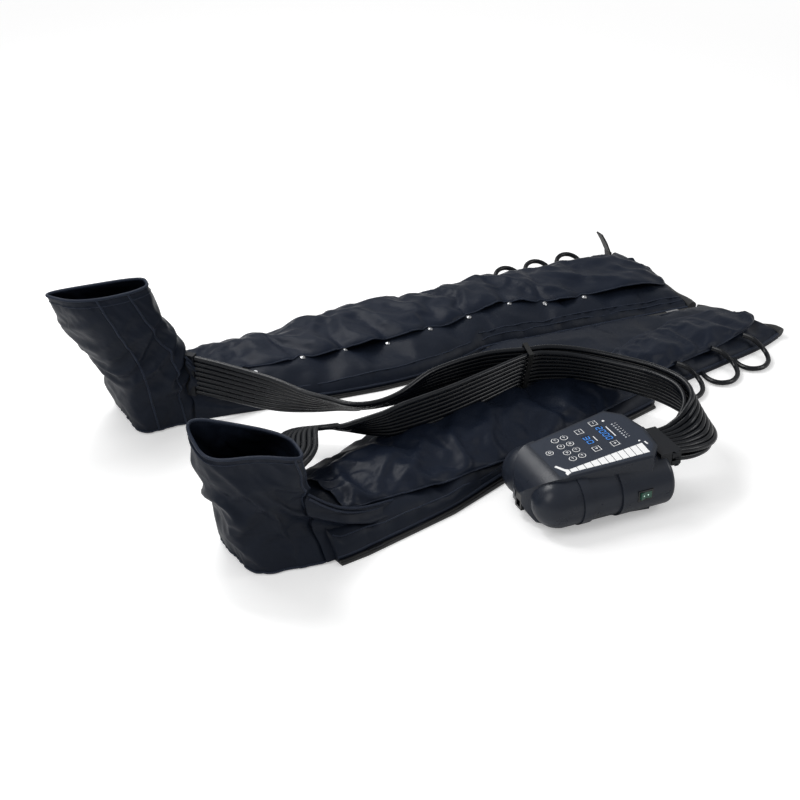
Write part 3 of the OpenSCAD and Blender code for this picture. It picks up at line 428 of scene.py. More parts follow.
class PUMPSET_OT_stage(bpy.types.Operator):
    """Makes the camera, the floor and the soft light"""

    bl_idname = "pumpset.stage"
    bl_label = "Stage"

    def execute(self, context):
        scene = context.scene
        looks = scene.pumpset_stage
        camera = bpy.data.cameras.new("photo_camera")
        camera.sensor_width = 36
        camera.lens = 18 / math.tan(math.radians(15))
        camera.clip_start, camera.clip_end = 0.05, 60
        eye = bpy.data.objects.new("photo_camera", camera)
        scene.collection.objects.link(eye)
        eye.location = Vector((-1009.75, -1998.41, 1301.25)) * 0.001
        aim = Vector((-93.04, 60.57, 0)) * 0.001
        eye.rotation_euler = (aim - eye.location).to_track_quat("-Z", "Y").to_euler()
        scene.camera = eye

        bm = bmesh.new()
        bmesh.ops.create_grid(bm, x_segments=8, y_segments=8, size=9.0)
        mesh = bpy.data.meshes.new("floor")
        bm.to_mesh(mesh)
        bm.free()
        floor = bpy.data.objects.new("floor", mesh)
        scene.collection.objects.link(floor)
        floor.location.z = -0.0006
        # Matt paper sweep: seen directly it reads as white, and it keeps the object's soft shadow
        material, tree, shader = new_material("paper_sweep", Roughness=0.95, Specular_IOR_Level=0.1)
        shader.inputs["Base Color"].default_value = (*looks.floor_colour, 1)
        seen = add_node(tree, "ShaderNodeLightPath").outputs["Is Camera Ray"]
        place = add_node(tree, "ShaderNodeTexCoord").outputs["Object"]
        away = add_node(tree, "ShaderNodeVectorMath", {"operation": "LENGTH"}, i0=place)
        fill = add_node(tree, "ShaderNodeMapRange", None, Value=away.outputs["Value"], From_Min=0.8,
                        From_Max=3.5,
                        To_Min=0.32, To_Max=0.62)
        glow = add_node(tree, "ShaderNodeMath", {"operation": "MULTIPLY"}, i0=seen,
                        i1=fill.outputs["Result"])
        tree.links.new(glow.outputs["Value"], shader.inputs["Emission Strength"])
        shader.inputs["Emission Color"].default_value = (1, 1, 1, 1)
        mesh.materials.append(material)

        world = bpy.data.worlds.new("studio")
        scene.world = world
        world.use_nodes = True
        tree = world.node_tree
        tree.nodes.clear()
        path = add_node(tree, "ShaderNodeLightPath")
        ray = add_node(tree, "ShaderNodeMath", {"operation": "MAXIMUM"}, i0=path.outputs["Is Camera Ray"],
                       i1=path.outputs["Is Transmission Ray"])
        strength = add_node(tree, "ShaderNodeMapRange", None, Value=ray.outputs["Value"], To_Min=0.4,
                            To_Max=1.0)
        back = add_node(tree, "ShaderNodeBackground", None, Color=(1, 1, 1, 1),
                        Strength=strength.outputs["Result"])
        add_node(tree, "ShaderNodeOutputWorld", None, Surface=back.outputs["Background"])

        # Softboxes at the back, the left and the right, and a narrow strip that draws crisp highlights
        boxes = [("softbox_back", (-0.5, 1.1, 1.7), (0.0, 0.1, 0.0), (1.9, 0.7), looks.lamp_power),
                 ("softbox_left", (-1.6, -0.6, 1.4), (-0.1, -0.1, 0.0), (0.8, 1.2),
                  looks.lamp_power * 0.45),
                 ("softbox_right", (1.7, -0.9, 1.2), (0.1, -0.2, 0.0), (0.7, 0.9), looks.lamp_power * 0.4),
                 ("strip_light", (-0.55, 0.35, 1.5), (0.0, -0.3, 0.0), (0.12, 0.5),
                  looks.lamp_power * 0.22)]
        for name, place, target, size, power in boxes:
            lamp = bpy.data.lights.new(name, "AREA")
            lamp.shape = "RECTANGLE"
            lamp.size, lamp.size_y = size
            lamp.energy = power
            holder = bpy.data.objects.new(name, lamp)
            holder.location = place
            holder.rotation_euler = (Vector(target) - Vector(place)).to_track_quat("-Z", "Y").to_euler()
            scene.collection.objects.link(holder)
        scene.view_settings.view_transform = "Standard"
        return {"FINISHED"}


# ---------- Hoses ----------


def ribbon_line(side, steps=10):
    """Smooth line of one ribbon: points with their roll, from plug to port, in millimetres."""
    sign = 1 if side == "far" else -1
    trunk = []
    for i, p in enumerate(TRUNK):
        h = heading([Vector(q) for q in TRUNK], i)
        facing = h.cross(across(h, p[3]))
        trunk.append((*(Vector(p[:3]) + sign * RIBBON_OFFSET * facing), p[3]))
    branch = FAR_BRANCH if side == "far" else NEAR_BRANCH
    return spline([PLUG_OUT[side]] + trunk + branch, steps)


def tube_points(line, k):
    """Centreline of tube k of a ribbon, in metres."""
    shift = (k - (TUBES - 1) / 2) * TUBE_PITCH
    points = []
    for i, p in enumerate(line):
        h = Vector((1, 0, 0)) if i == 0 else heading(line, i)
        points.append((PUMP + Vector(p[:3]) + shift * across(h, p[3])) * 0.001)
    return points


class PUMPSET_OT_hoses(bpy.types.Operator):
    """Makes the two ribbons of bonded air tubes"""

    bl_idname = "pumpset.hoses"
    bl_label = "Hoses"

    def execute(self, context):
        radius = context.scene.pumpset_hoses.tube_radius
        # TPU tube: extruded smooth, so each tube carries one long thin highlight
        skin = moulded("extruded_tpu", "#090c12", "#0d1117", 0.28, grain=0.002, bump=0.05,
                       Specular_IOR_Level=0.32)
        for side in ("far", "near"):
            line = ribbon_line(side)
            for k in range(TUBES):
                points = tube_points(line, k)
                tube = add_tube(f"{side}_tube_{k + 1}", points, radius, skin,
                                (f"{side}_hose",), sides=4)
        return {"FINISHED"}


# ---------- Control face ----------


class PUMPSET_OT_finishes(bpy.types.Operator):
    """Gives every CAD node that stays its own finish"""

    bl_idname = "pumpset.finishes"
    bl_label = "Finishes"

    def execute(self, context):
        looks = context.scene.pumpset_pump
        # ABS, moulded in a fine satin grain: soft wide highlights on the domes
        abs_satin = moulded("moulded_abs", looks.casing_low, looks.casing_high, looks.casing_gloss,
                            grain=0.0005, bump=0.06,
                             Specular_IOR_Level=0.28)
        # Printed polyester film: flatter and duller than the casing round it
        film = moulded("printed_film", "#262d3a", "#2a313e", 0.46, grain=0.0004, bump=0.04,
                       Specular_IOR_Level=0.25)
        ink = moulded("white_ink", "#f6f7f8", "#fdfdfd", 0.5, grain=0.0004, bump=0.03)
        window = moulded("smoked_window", "#0b1626", "#0d1a2c", 0.12, grain=0.003, bump=0.01)
        lens = moulded("clear_lens", "#b9bdc4", "#c6cad0", 0.25, grain=0.001, bump=0.02)
        keycap = moulded("silicone_key", "#2b303b", "#313744", 0.5, grain=0.0005, bump=0.08,
                         Specular_IOR_Level=0.3)
        gloss = moulded("gloss_polycarbonate", "#0c0d10", "#101114", 0.16, grain=0.002, bump=0.01)
        plug = moulded("glass_filled_nylon", "#101318", "#15181e", 0.5, grain=0.0008, bump=0.15,
                       Specular_IOR_Level=0.3)
        rubber = moulded("cast_rubber", "#0e0f10", "#131415", 0.8, grain=0.0012, bump=0.25)
        pot_metal = metal("cast_aluminium", "#8d9094", 0.5, 0.0008)
        nickel = metal("nickel_plate", "#c3c4c6", 0.28, 0.0006)
        black_nickel = metal("black_nickel_plate", "#3a3c40", 0.32, 0.0006)
        pale = moulded("natural_acetal", "#b4b6b8", "#c2c4c6", 0.45)
        board = moulded("solder_mask", "#174a26", "#1d5a2e", 0.3)
        tin = moulded("switch_housing", "#8f9194", "#a2a4a6", 0.4)
        supply = moulded("powder_coat", "#4b4e52", "#54575b", 0.55)
        rocker = lit("green_rocker", "#0b4433", 0.12)
        finishes = {abs_satin: ["casing_lower", "casing_upper"], film: ["control_overlay"],
                    ink: ["chamber_bar"],
                    window: ["time_display", "pressure_display"], lens: ["indicator_lamps"],
                    keycap: [f"round_key_{i}" for i in range(1,
                                                             10)] + [f"square_key_{i}" for i in range(1, 5)],
                    gloss: ["switch_frame", "power_inlet"], rocker: ["power_rocker"],
                    plug: ["hose_socket", "far_hose_plug", "near_hose_plug", "far_plug_latch",
                           "near_plug_latch",
                           "near_hose_port", "far_hose_port"],
                    rubber: ["rubber_feet", "inner_mounts", "hose_tie"],
                    nickel: ["casing_screws", "centre_zip_slider", "snap_studs"],
                    black_nickel: ["near_zip_slider", "far_zip_slider"],
                    pot_metal: ["air_compressor"], pale: ["valve_block", "air_tube"],
                    board: ["circuit_board"],
                    tin: ["key_switches"], supply: ["power_supply"]}
        for material, names in finishes.items():
            for name in names:
                dress(name, material)
        return {"FINISHED"}


def raised_ring(bm, place, outer, inner, lift, segments=40):
    """A printed ring at a place on the control face."""
    rim = bmesh.ops.create_circle(bm, cap_ends=False, segments=segments, radius=outer * 0.001)["verts"]
    edges = list({e for v in rim for e in v.link_edges})
    grown = bmesh.ops.extrude_edge_only(bm, edges=edges)["geom"]
    hole = [g for g in grown if isinstance(g, bmesh.types.BMVert)]
    bmesh.ops.scale(bm, vec=(inner / outer, inner / outer, 1), verts=hole)
    lay_on_face(bm, rim + hole, place, lift)


def lay_on_face(bm, verts, place, lift, turn=0.0):
    """Moves flat shapes from the origin to their place on the control face."""
    to_face = Matrix.Translation(face(*place)) @ Matrix.Rotation(-FACE_TILT, 4,
                                                                 "Y") @ Matrix.Rotation(turn, 4, "Z")
    bmesh.ops.transform(bm, matrix=to_face @ Matrix.Translation((0, 0, lift)), verts=verts)


def bar(bm, place, size, lift, turn=0.0, offset=(0, 0)):
    """A printed bar of a size in millimetres, shifted before it is turned."""
    verts = bmesh.ops.create_grid(bm, x_segments=1, y_segments=1, size=0.5)["verts"]
    bmesh.ops.scale(bm, vec=(size[0] * 0.001, size[1] * 0.001, 1), verts=verts)
    bmesh.ops.translate(bm, vec=(offset[0] * 0.001, offset[1] * 0.001, 0), verts=verts)
    lay_on_face(bm, verts, place, lift, turn)


def frame_bars(bm, place, side, line, lift):
    """A printed square outline."""
    reach = (side - line) / 2
    for dx, dy, size in ((reach, 0, (line, side)), (-reach, 0, (line, side)),
                         (0, reach, (side - 2 * line, line)),
                         (0, -reach, (side - 2 * line, line))):
        bar(bm, place, size, lift, offset=(dx, dy))


# Segments of a digit: place and size as shares of its height (along x) and width (along -y)
SEGMENTS = {"a": (0.5, 0, "h"), "g": (0, 0, "h"), "d": (-0.5, 0, "h"), "f": (0.25, -0.5, "v"),
            "b": (0.25, 0.5, "v"),
            "e": (-0.25, -0.5, "v"), "c": (-0.25, 0.5, "v")}
DIGITS = {"0": "abcdef", "1": "bc", "2": "abged", "3": "abgcd", "5": "afgcd", "8": "abcdefg"}


class PUMPSET_OT_face_print(bpy.types.Operator):
    """Prints the key outlines, marks and lit digits on the control face"""

    bl_idname = "pumpset.face_print"
    bl_label = "Control face print"

    def execute(self, context):
        looks = context.scene.pumpset_pump
        lift = looks.print_lift
        key_top = 0.0008 + lift
        bm = bmesh.new()
        for place in ROUND_KEYS:
            raised_ring(bm, place, 6.1, 5.05, lift)
        for place in SQUARE_KEYS:
            frame_bars(bm, place, 12.4, 1.0, lift)
        # Key signs: a start bar, chamber strokes, and minus and plus
        for n, place in enumerate(ROUND_KEYS):
            if n == 0:
                raised_ring(bm, place, 2.6, 1.7, key_top, 24)
            else:
                for k in range(3):
                    bar(bm, place, (3.6 if k <= (n - 1) % 3 else 1.4, 0.8), key_top,
                        offset=(0, 1.7 - 1.7 * k))
        for n, place in enumerate(SQUARE_KEYS):
            bar(bm, place, (0.9, 4.6), key_top)
            if n % 2:
                bar(bm, place, (4.6, 0.9), key_top)
        # Rules beside the two windows, lamp ticks and the edge marks
        bar(bm, (55.5, 17), (1.6, 30), lift)
        bar(bm, (25, 12), (1.4, 14), lift)
        for place in LAMPS:
            bar(bm, (place[0] + 5.5, place[1]), (3.4, 0.7), lift)
        raised_ring(bm, (60, 48), 2.2, 0.02, lift, 20)
        raised_ring(bm, (79, -28), 1.8, 0.02, lift, 20)
        bar(bm, (85, -38), (2.6, 8), lift, turn=0.1)
        add_piece("face_print", bm, MATERIALS["white_ink"])

        # Two moulded marks on the rocker, which tilt with it; they glow as painted light, so that they read
        # bright on the rocker's shaded side
        rocker = NODES["power_rocker"]
        tree = BVHTree.FromObject(rocker, bpy.context.evaluated_depsgraph_get())
        corners = [rocker.matrix_world @ Vector(c) for c in rocker.bound_box]
        low, high = (Vector([pick(c[k] for c in corners) for k in range(3)]) for pick in (min, max))
        bm = bmesh.new()
        for share in (0.3, 0.7):
            start = Vector((mix(low.x, high.x, share), low.y - 0.01, (low.z + high.z) / 2))
            hit, normal = tree.ray_cast(start, Vector((0, 1, 0)))[:2]
            dot = bmesh.ops.create_circle(bm, cap_ends=True, segments=16, radius=0.0011)["verts"]
            seat = Matrix.Translation(hit + normal * 0.0001)
            turned = seat @ normal.to_track_quat("Z", "Y").to_matrix().to_4x4()
            bmesh.ops.transform(bm, matrix=turned, verts=dot)
        # The marks' glow is painted light that brightens them on the rocker's shaded side
        add_piece("rocker_marks", bm, lit("marks_painted_glow", "#c9efe0", 0.5),
                  body="power_rocker")

        glow = lit("lit_segments", looks.lit_blue, 0.55)
        bm = bmesh.new()
        for (centre, size), text, tall in ((TIME_WINDOW, "2000", 9.6), (PRESSURE_WINDOW, "30", 9.0)):
            pitch = size[1] / len(text) * 0.94
            wide = pitch * 0.62
            for n, digit in enumerate(text):
                mid_y = centre[1] - (n - (len(text) - 1) / 2) * pitch
                for s in DIGITS[digit]:
                    up, side, way = SEGMENTS[s]
                    size_mm = (1.5, wide - 0.6) if way == "h" else (tall / 2 - 0.9, 1.5)
                    bar(bm, (centre[0] + up * tall, mid_y - side * wide), size_mm, -0.0001)
        add_piece("display_digits", bm, glow)
        return {"FINISHED"}


# ---------- Trousers ----------


def bulge(t):
    """Height of padding at a share of its width, 0 to 1."""
    return max(0.0, 1 - abs(2 * t - 1) ** 2.6) ** 0.55


class Leg:
    """A leg's plan and padding height as smooth functions along and across it."""

    def __init__(self, stations, flap):
        self.near = [Vector((*s[0], 0)) for s in stations]
        self.far = [Vector((*s[1], 0)) for s in stations]
        self.height = [s[2] for s in stations]
        self.flap = flap
        mids = [(a + b) / 2 for a, b in zip(self.near, self.far)]
        self.reach = [0.0]
        for a, b in zip(mids, mids[1:]):
            self.reach.append(self.reach[-1] + (b - a).length)
        self.length = self.reach[-1]

    def station(self, along):
        """Station index and share at a distance along the leg, in millimetres."""
        last = len(self.reach) - 2
        i = next((i for i in range(last) if along <= self.reach[i + 1]), last)
        return i, min(1.0, (along - self.reach[i]) / (self.reach[i + 1] - self.reach[i]))

    def along(self, station):
        """Distance along the leg at a station number with its share."""
        i = min(int(station), len(self.reach) - 2)
        return mix(self.reach[i], self.reach[i + 1], station - i)

    def flap_span(self, along):
        i, t = self.station(along)
        last = len(self.flap) - 1
        a, b = self.flap[min(max(i - 1, 0), last)], self.flap[min(i, last)]
        return mix(a[0], b[0], t), mix(a[1], b[1], t)

    def top(self, along, t, edge=8.0):
        """A place on the padding at a distance along and a share across it."""
        i, share = self.station(along)
        p = spline_at(self.near, i, share).lerp(spline_at(self.far, i, share), t)
        return p.x, p.y, edge + (mix(self.height[i], self.height[i + 1], share) - edge) * bulge(t)


def cloth_grid(columns, rows, place, size):
    """Cloth with its UV in metres; place gives each point's position from its shares along and across."""
    bm = bmesh.new()
    uv = bm.loops.layers.uv.new("cloth")
    bmesh.ops.create_grid(bm, x_segments=columns, y_segments=rows, size=0.5)
    shares = {v: (v.co.x + 0.5, v.co.y + 0.5) for v in bm.verts}
    for loop in (loop for f in bm.faces for loop in f.loops):
        u, w = shares[loop.vert]
        loop[uv].uv = (u * size[0], w * size[1])
    for v, (u, w) in shares.items():
        v.co = place(u, w)
    return bm, shares


def settle(obj, held, grow, pressure, frames, reach):
    """Lets cloth settle with its held points fixed, caps how far each point moves, and applies it."""
    rest = [v.co.copy() for v in obj.data.vertices]
    group = obj.vertex_groups.new(name="held")
    group.add(held, 1.0, "REPLACE")
    cloth = obj.modifiers.new("cloth", "CLOTH")
    s = cloth.settings
    s.quality = 7
    s.mass = 0.12
    s.tension_stiffness = s.compression_stiffness = 18
    s.shear_stiffness = 8
    s.bending_stiffness = 1.2
    s.tension_damping = s.compression_damping = s.shear_damping = 8
    s.air_damping = 2
    s.vertex_group_mass = "held"
    s.shrink_min = -grow
    s.use_pressure = pressure != 0
    s.uniform_pressure_force = pressure
    s.effector_weights.gravity = 0
    cloth.collision_settings.use_collision = False
    cloth.point_cache.frame_start = 1
    cloth.point_cache.frame_end = frames
    scene = bpy.context.scene
    for f in range(1, frames + 1):
        scene.frame_set(f)
    shaped = obj.evaluated_get(bpy.context.evaluated_depsgraph_get()).to_mesh()
    moved = [v.co.copy() for v in shaped.vertices]
    obj.to_mesh_clear()
    obj.modifiers.remove(cloth)
    obj.vertex_groups.remove(group)
    scene.frame_set(1)
    for v, a, b in zip(obj.data.vertices, rest, moved):
        step = b - a
        if step.length > 1e-9:
            step *= reach * math.tanh(step.length / reach) / step.length
        v.co = a + step
    obj.data.update()


def wrinkle(p, size, seed):
    """Soft fold noise at a place, about -1 to 1."""
    q = Vector((p[0] / size, p[1] / size, p[2] / size + seed))
    return noise.noise(q) * 1.4 + 0.5 * noise.noise(q * 2.3 + Vector((5.2, 1.3, 7.7)))


def crease(x, y, long, wide, turn, seed):
    """Narrow-topped folds, long along a turn in degrees and wide across it, 0 to 1."""
    c, s = math.cos(math.radians(turn)), math.sin(math.radians(turn))
    q = Vector(((x * c + y * s) / long, (y * c - x * s) / wide, seed))
    return max(0.0, 1 - 2.4 * abs(noise.noise(q))) ** 1.6


def crinkle(p, size, seed):
    """Sharp-ridged crumples in no one direction, about 0 to 1."""
    q = Vector((p[0] / size, p[1] / size, p[2] / size + seed))
    first = 1 - abs(noise.noise(q)) * 2.2
    second = 1 - abs(noise.noise(q * 2.1 + Vector((3.1, 8.3, 1.7)))) * 2.2
    return 0.65 * max(0.0, first) ** 2 + 0.35 * max(0.0, second) ** 2


def subdivide(obj, levels=1):
    m = obj.modifiers.new("subdivision", "SUBSURF")
    m.levels = m.render_levels = levels


def thicken(obj, thickness, offset):
    m = obj.modifiers.new("cloth_thickness", "SOLIDIFY")
    m.thickness = thickness
    m.offset = offset


def surface_seam(name, leg, cover, stops, radius, material, steps=10):
    """A stitched seam on a leg's cover through stops of station and share across."""
    tree = BVHTree.FromObject(cover, bpy.context.evaluated_depsgraph_get())
    points = []
    for stop in spline([(s, t, 0) for s, t in stops], steps):
        x, y, z = leg.top(leg.along(stop.x), stop.y)
        p = garment(x, y, z)
        hit = tree.ray_cast(Vector((p.x, p.y, 0.5)), Vector((0, 0, -1)))[0]
        if hit is not None:
            points.append(hit + Vector((0, 0, radius * 0.3)))
    return add_tube(name, points, radius, material)


class PUMPSET_OT_legs(bpy.types.Operator):
    """Makes the two padded legs and settles their cloth"""

    bl_idname = "pumpset.legs"
    bl_label = "Legs"

    def execute(self, context):
        looks = context.scene.pumpset_trousers
        coated_nylon("binding_nylon", "#222835", "#2b3240", looks.thread, 0.4)
        nylon = coated_nylon("coated_nylon", "#151a24", "#1b212d", looks.thread, 0.44)
        for side, stations, flap in (("near", NEAR_LEG, NEAR_FLAP), ("far", FAR_LEG, FAR_FLAP)):
            leg = Leg(stations, flap)

            def place(u, w):
                x, y, z = leg.top(u * leg.length, w)
                folds = 2.2 * wrinkle((x, y, 0), 100, 3.1) + 3.0 * crease(x, y, 150, 60, -30, 6.3)
                folds += 4.5 * crinkle((x, y, 0), 110, 7.9)
                return garment(x, y, z + folds * math.sqrt(max(0.0, math.sin(math.pi * w))))

            columns, rows = int(leg.length / 8), 28
            bm, shares = cloth_grid(columns, rows, place, (leg.length * 0.001, 0.26))
            held = [v.index for v, (u,
                                    w) in shares.items() if not (0.001 < u < 0.999 and 0.001 < w < 0.999)]
            obj = add_piece(f"{side}_leg_cover", bm, nylon, (f"{side}_leg",))
            settle(obj, held, looks.leg_grow, 0.4, 14, 0.007)
            bm = bmesh.new()
            bm.from_mesh(obj.data)
            rim = [e for e in bm.edges if e.is_boundary]
            skirt = [g for g in bmesh.ops.extrude_edge_only(bm, edges=rim)["geom"]
                     if isinstance(g, bmesh.types.BMVert)]
            for v in skirt:
                v.co.z = 0.0006
            bmesh.ops.holes_fill(bm, edges=[e for e in bm.edges if e.is_boundary], sides=0)
            bmesh.ops.recalc_face_normals(bm, faces=bm.faces)
            bm.to_mesh(obj.data)
            bm.free()
        return {"FINISHED"}


# A flap's cloth over its plan
FLAP_EASE = 1.08


class PUMPSET_OT_flaps(bpy.types.Operator):
    """Makes the two soft flaps over the air ports"""

    bl_idname = "pumpset.flaps"
    bl_label = "Flaps"

    def execute(self, context):
        looks = context.scene.pumpset_trousers
        nylon = coated_nylon("flap_nylon", "#141a26", "#1a212f", looks.thread, 0.42)
        for side, stations, flap in (("near", NEAR_LEG, NEAR_FLAP), ("far", FAR_LEG, FAR_FLAP)):
            leg = Leg(stations, flap)
            first, last = leg.reach[1], leg.reach[len(flap)]
            run = last - first
            columns, rows = int(run / 7), 26
            pins = [(leg.along(k) - first) / run for k in STUDS] if side == "far" else []
            bounds = [0.0, *pins, 1.0]

            def slack(u):
                """How far the free edge is from its studs, 0 to 1."""
                a, b = next(((a, b) for a, b in zip(bounds, bounds[1:]) if u <= b), (0, 1))
                return math.sin(math.pi * (u - a) / (b - a)) if side == "far" else 0.5

            def place(u, w):
                along = first + u * run
                a, b = leg.flap_span(along)
                loose = slack(u) * (1 - w) ** 3
                x, y, z = leg.top(along, mix(a, b, w) - 0.045 * loose, 10.0)
                puff = 0.25 + 0.75 * bulge(w)
                crumple = 1.5 - 0.9 * min(1.0, u * 2.5) if side == "near" else 1.0
                folds = 2.5 * wrinkle((x, y, 0), 60, 9.4)
                folds += 6.0 * crease(x, y, 120, 42, 30 if side == "near" else -55, 2.7)
                folds += 8.0 * crinkle((x, y, 0), 75, 4.4)
                return garment(x, y, z + 1.2 + 6 * puff + folds * puff * crumple + 8 * loose)

            bm, shares = cloth_grid(columns, rows, place, (run * 0.001, 0.2))
            pinned = {round(p * columns) for p in pins}
            held = [v.index for v, (u, w) in shares.items()
                    if w > 0.999 or u < 0.001 or u > 0.999
                    or (w < 0.001 and (side == "near" or round(u * columns) in pinned))]
            free = sorted((u, v.index) for v, (u, w) in shares.items() if w < 0.001)
            sewn = sorted((u, v.index) for v, (u, w) in shares.items() if w > 0.999)
            obj = add_piece(f"{side}_flap_cover", bm, nylon, (f"{side}_flap",))
            settle(obj, held, looks.flap_grow, 0.9, 18, 0.012)
            keep_above(obj, bpy.data.objects[f"{side}_leg_cover"], 0.0012)
            for edge, line in (("free", free), ("sewn", sewn)):
                points = [obj.data.vertices[i].co.copy() for u, i in line]
                add_tube(f"{side}_flap_{edge}_piping", points, 0.0016, MATERIALS["binding_nylon"])
            thicken(obj, 0.0016, 1.0)
            subdivide(obj)
            widths = [(b - a) * (q - p).length for (a, b), p, q in zip(flap, leg.near[1:], leg.far[1:])]
            strips = zip(widths, widths[1:], leg.reach[1:], leg.reach[2:])
            area = FLAP_EASE * 1e-6 * sum((u + v) / 2 * (q - p) for u, v, p, q in strips)
        return {"FINISHED"}


def keep_above(obj, under, gap):
    """Lifts the points of a piece that lie below or too close to what carries them."""
    tree = BVHTree.FromObject(under, bpy.context.evaluated_depsgraph_get())
    for v in obj.data.vertices:
        hit = tree.ray_cast(Vector((v.co.x, v.co.y, 0.5)), Vector((0, 0, -1)))[0]
        if hit is not None and v.co.z < hit.z + gap:
            v.co.z = hit.z + gap


def ring_points(ring, count, lift=(0, 0, 0, 0, 0)):
    """Points round one foot section ring; lift raises its four corners and its near side."""
    z, softness = ring[0], ring[1]
    heel, near, far, back = (Vector((ring[k], ring[k + 1])) for k in (2, 4, 6, 8))
    power = 2 / softness
    points = []
    for i in range(count):
        c, s = math.cos(2 * math.pi * i / count), math.sin(2 * math.pi * i / count)
        reach = (abs(c) ** power + abs(s) ** power) ** (-1 / power)
        u, v = (1 + reach * c) / 2, (1 + reach * s) / 2
        p = heel.lerp(near, u).lerp(back.lerp(far, u), v)
        rise = mix(mix(lift[0], lift[1], u), mix(lift[3], lift[2], u),
                   v) + lift[4] * math.sin(math.pi * u) * (1 - v)
        points.append(garment(p.x, p.y, z + rise))
    return points


def ring_between(rings, z):
    """The foot section ring at a height, smoothed between the given ones."""
    values = [Vector((r[0], r[1], *r[2], *r[3], *r[4], *r[5])) for r in rings]
    for i in range(len(rings) - 1):
        if values[i][0] <= z <= values[i + 1][0] + 1e-6:
            return spline_at(values, i, (z - values[i][0]) / (values[i + 1][0] - values[i][0]))


def upright_shell(rows_of_points):
    """A tube of cloth through rows of points from the floor up, with its rows of vertices."""
    bm = bmesh.new()
    count = len(rows_of_points[0])
    ring = bmesh.ops.create_circle(bm, cap_ends=True, segments=count, radius=0.1)["verts"]
    rows = [ring]
    for _ in rows_of_points[1:]:
        top = set(rows[-1])
        edges = [e for e in bm.edges if e.verts[0] in top and e.verts[1] in top]
        new = {g for g in bmesh.ops.extrude_edge_only(bm, edges=edges)["geom"]
               if isinstance(g, bmesh.types.BMVert)}
        rows.append([next(e.other_vert(v) for e in v.link_edges if e.other_vert(v) in new) for v in rows[-1]])
    for row, points in zip(rows, rows_of_points):
        for v, p in zip(row, points):
            v.co = p
    return bm, rows


class PUMPSET_OT_boots(bpy.types.Operator):
    """Makes the two standing foot sections with their hems and seams"""

    bl_idname = "pumpset.boots"
    bl_label = "Foot sections"

    def execute(self, context):
        nylon = MATERIALS["coated_nylon"]
        count, levels = 112, 44
        # Corner lifts of each mouth in millimetres, then the height of its near side's arch
        for side, rings, seams, mouth, turn in (("near", NEAR_BOOT, (312, 324), (-24, -6, 2, 20, 12), 1.0),
                                                ("far", FAR_BOOT, (246, 294), (0, 0, 0, 6, -4), -0.6)):
            high = rings[-1][0]
            rows_of_points = []
            for level in range(levels + 1):
                share = level / levels
                ring = ring_between(rings, high * share)
                points = ring_points(ring, count, [rise * share ** 2 for rise in mouth])
                middle = sum(points, Vector()) / count
                # Folds gather at the ankle and fade to the hem
                amount = math.sin(math.pi * share) * (1.6 - share)
                row = []
                for p in points:
                    q = p * 1000
                    slant = q.z + turn * (q.x - middle.x * 1000)
                    ridge = max(0.0, 1 - 2.4 * abs(noise.noise(Vector((q.x / 110, q.y / 110,
                                                                       slant / 48 + 4.1)))))
                    fold = 0.002 * wrinkle(q, 60,
                                           2.2) + 0.009 * (ridge ** 1.5 - 0.4) + 0.004 * crinkle(q, 60, 5.3)
                    out = p - middle
                    out.z = 0
                    row.append(p + out.normalized() * fold * amount)
                rows_of_points.append(row)
            bm, rows = upright_shell(rows_of_points)
            uv = bm.loops.layers.uv.new("cloth")
            where = {v: (i / count, level / levels) for level, row in enumerate(rows) for i,
                     v in enumerate(row)}
            for f in bm.faces:
                starts = [where[loop.vert][0] for loop in f.loops]
                wraps = max(starts) - min(starts) > 0.5
                for loop in f.loops:
                    u, w = where[loop.vert]
                    loop[uv].uv = ((u + (1.0 if wraps and u < 0.5 else 0.0)) * 0.44, w * high * 0.001)
            bm.verts.index_update()
            held = [v.index for row in (rows[0], rows[-1], rows[-3]) for v in row]
            lines = {"rim": (rows[-1], 0.0026), "hem": (rows[-4], 0.0009), "sole": (rows[1], 0.0018)}
            lines = {name: ([v.index for v in row], size) for name, (row, size) in lines.items()}
            upright = [[row[round(turn / 360 * count) % count].index for row in rows[1:]] for turn in seams]
            bmesh.ops.recalc_face_normals(bm, faces=bm.faces)
            covered = [node for node in (f"{side}_boot", f"{side}_boot_cuff") if node in NODES]
            obj = add_piece(f"{side}_boot_shell", bm, nylon, covered)
            settle(obj, held, 0.03, 0.2, 14, 0.008)
            co = [v.co.copy() for v in obj.data.vertices]
            for name, (indices, size) in lines.items():
                points = [co[i] for i in indices]
                add_tube(f"{side}_boot_{name}", points, size, MATERIALS["binding_nylon"],
                         closed=True)
            for n, indices in enumerate(upright):
                points = [co[i] for i in indices]
                add_tube(f"{side}_boot_seam_{n + 1}", points, 0.0019, MATERIALS["binding_nylon"])
            thicken(obj, 0.0022, -1.0)
            subdivide(obj)
        return {"FINISHED"}


# Flat length and width of a gusset's cloth, in metres
GUSSET_FLAT = (0.15, 0.095)


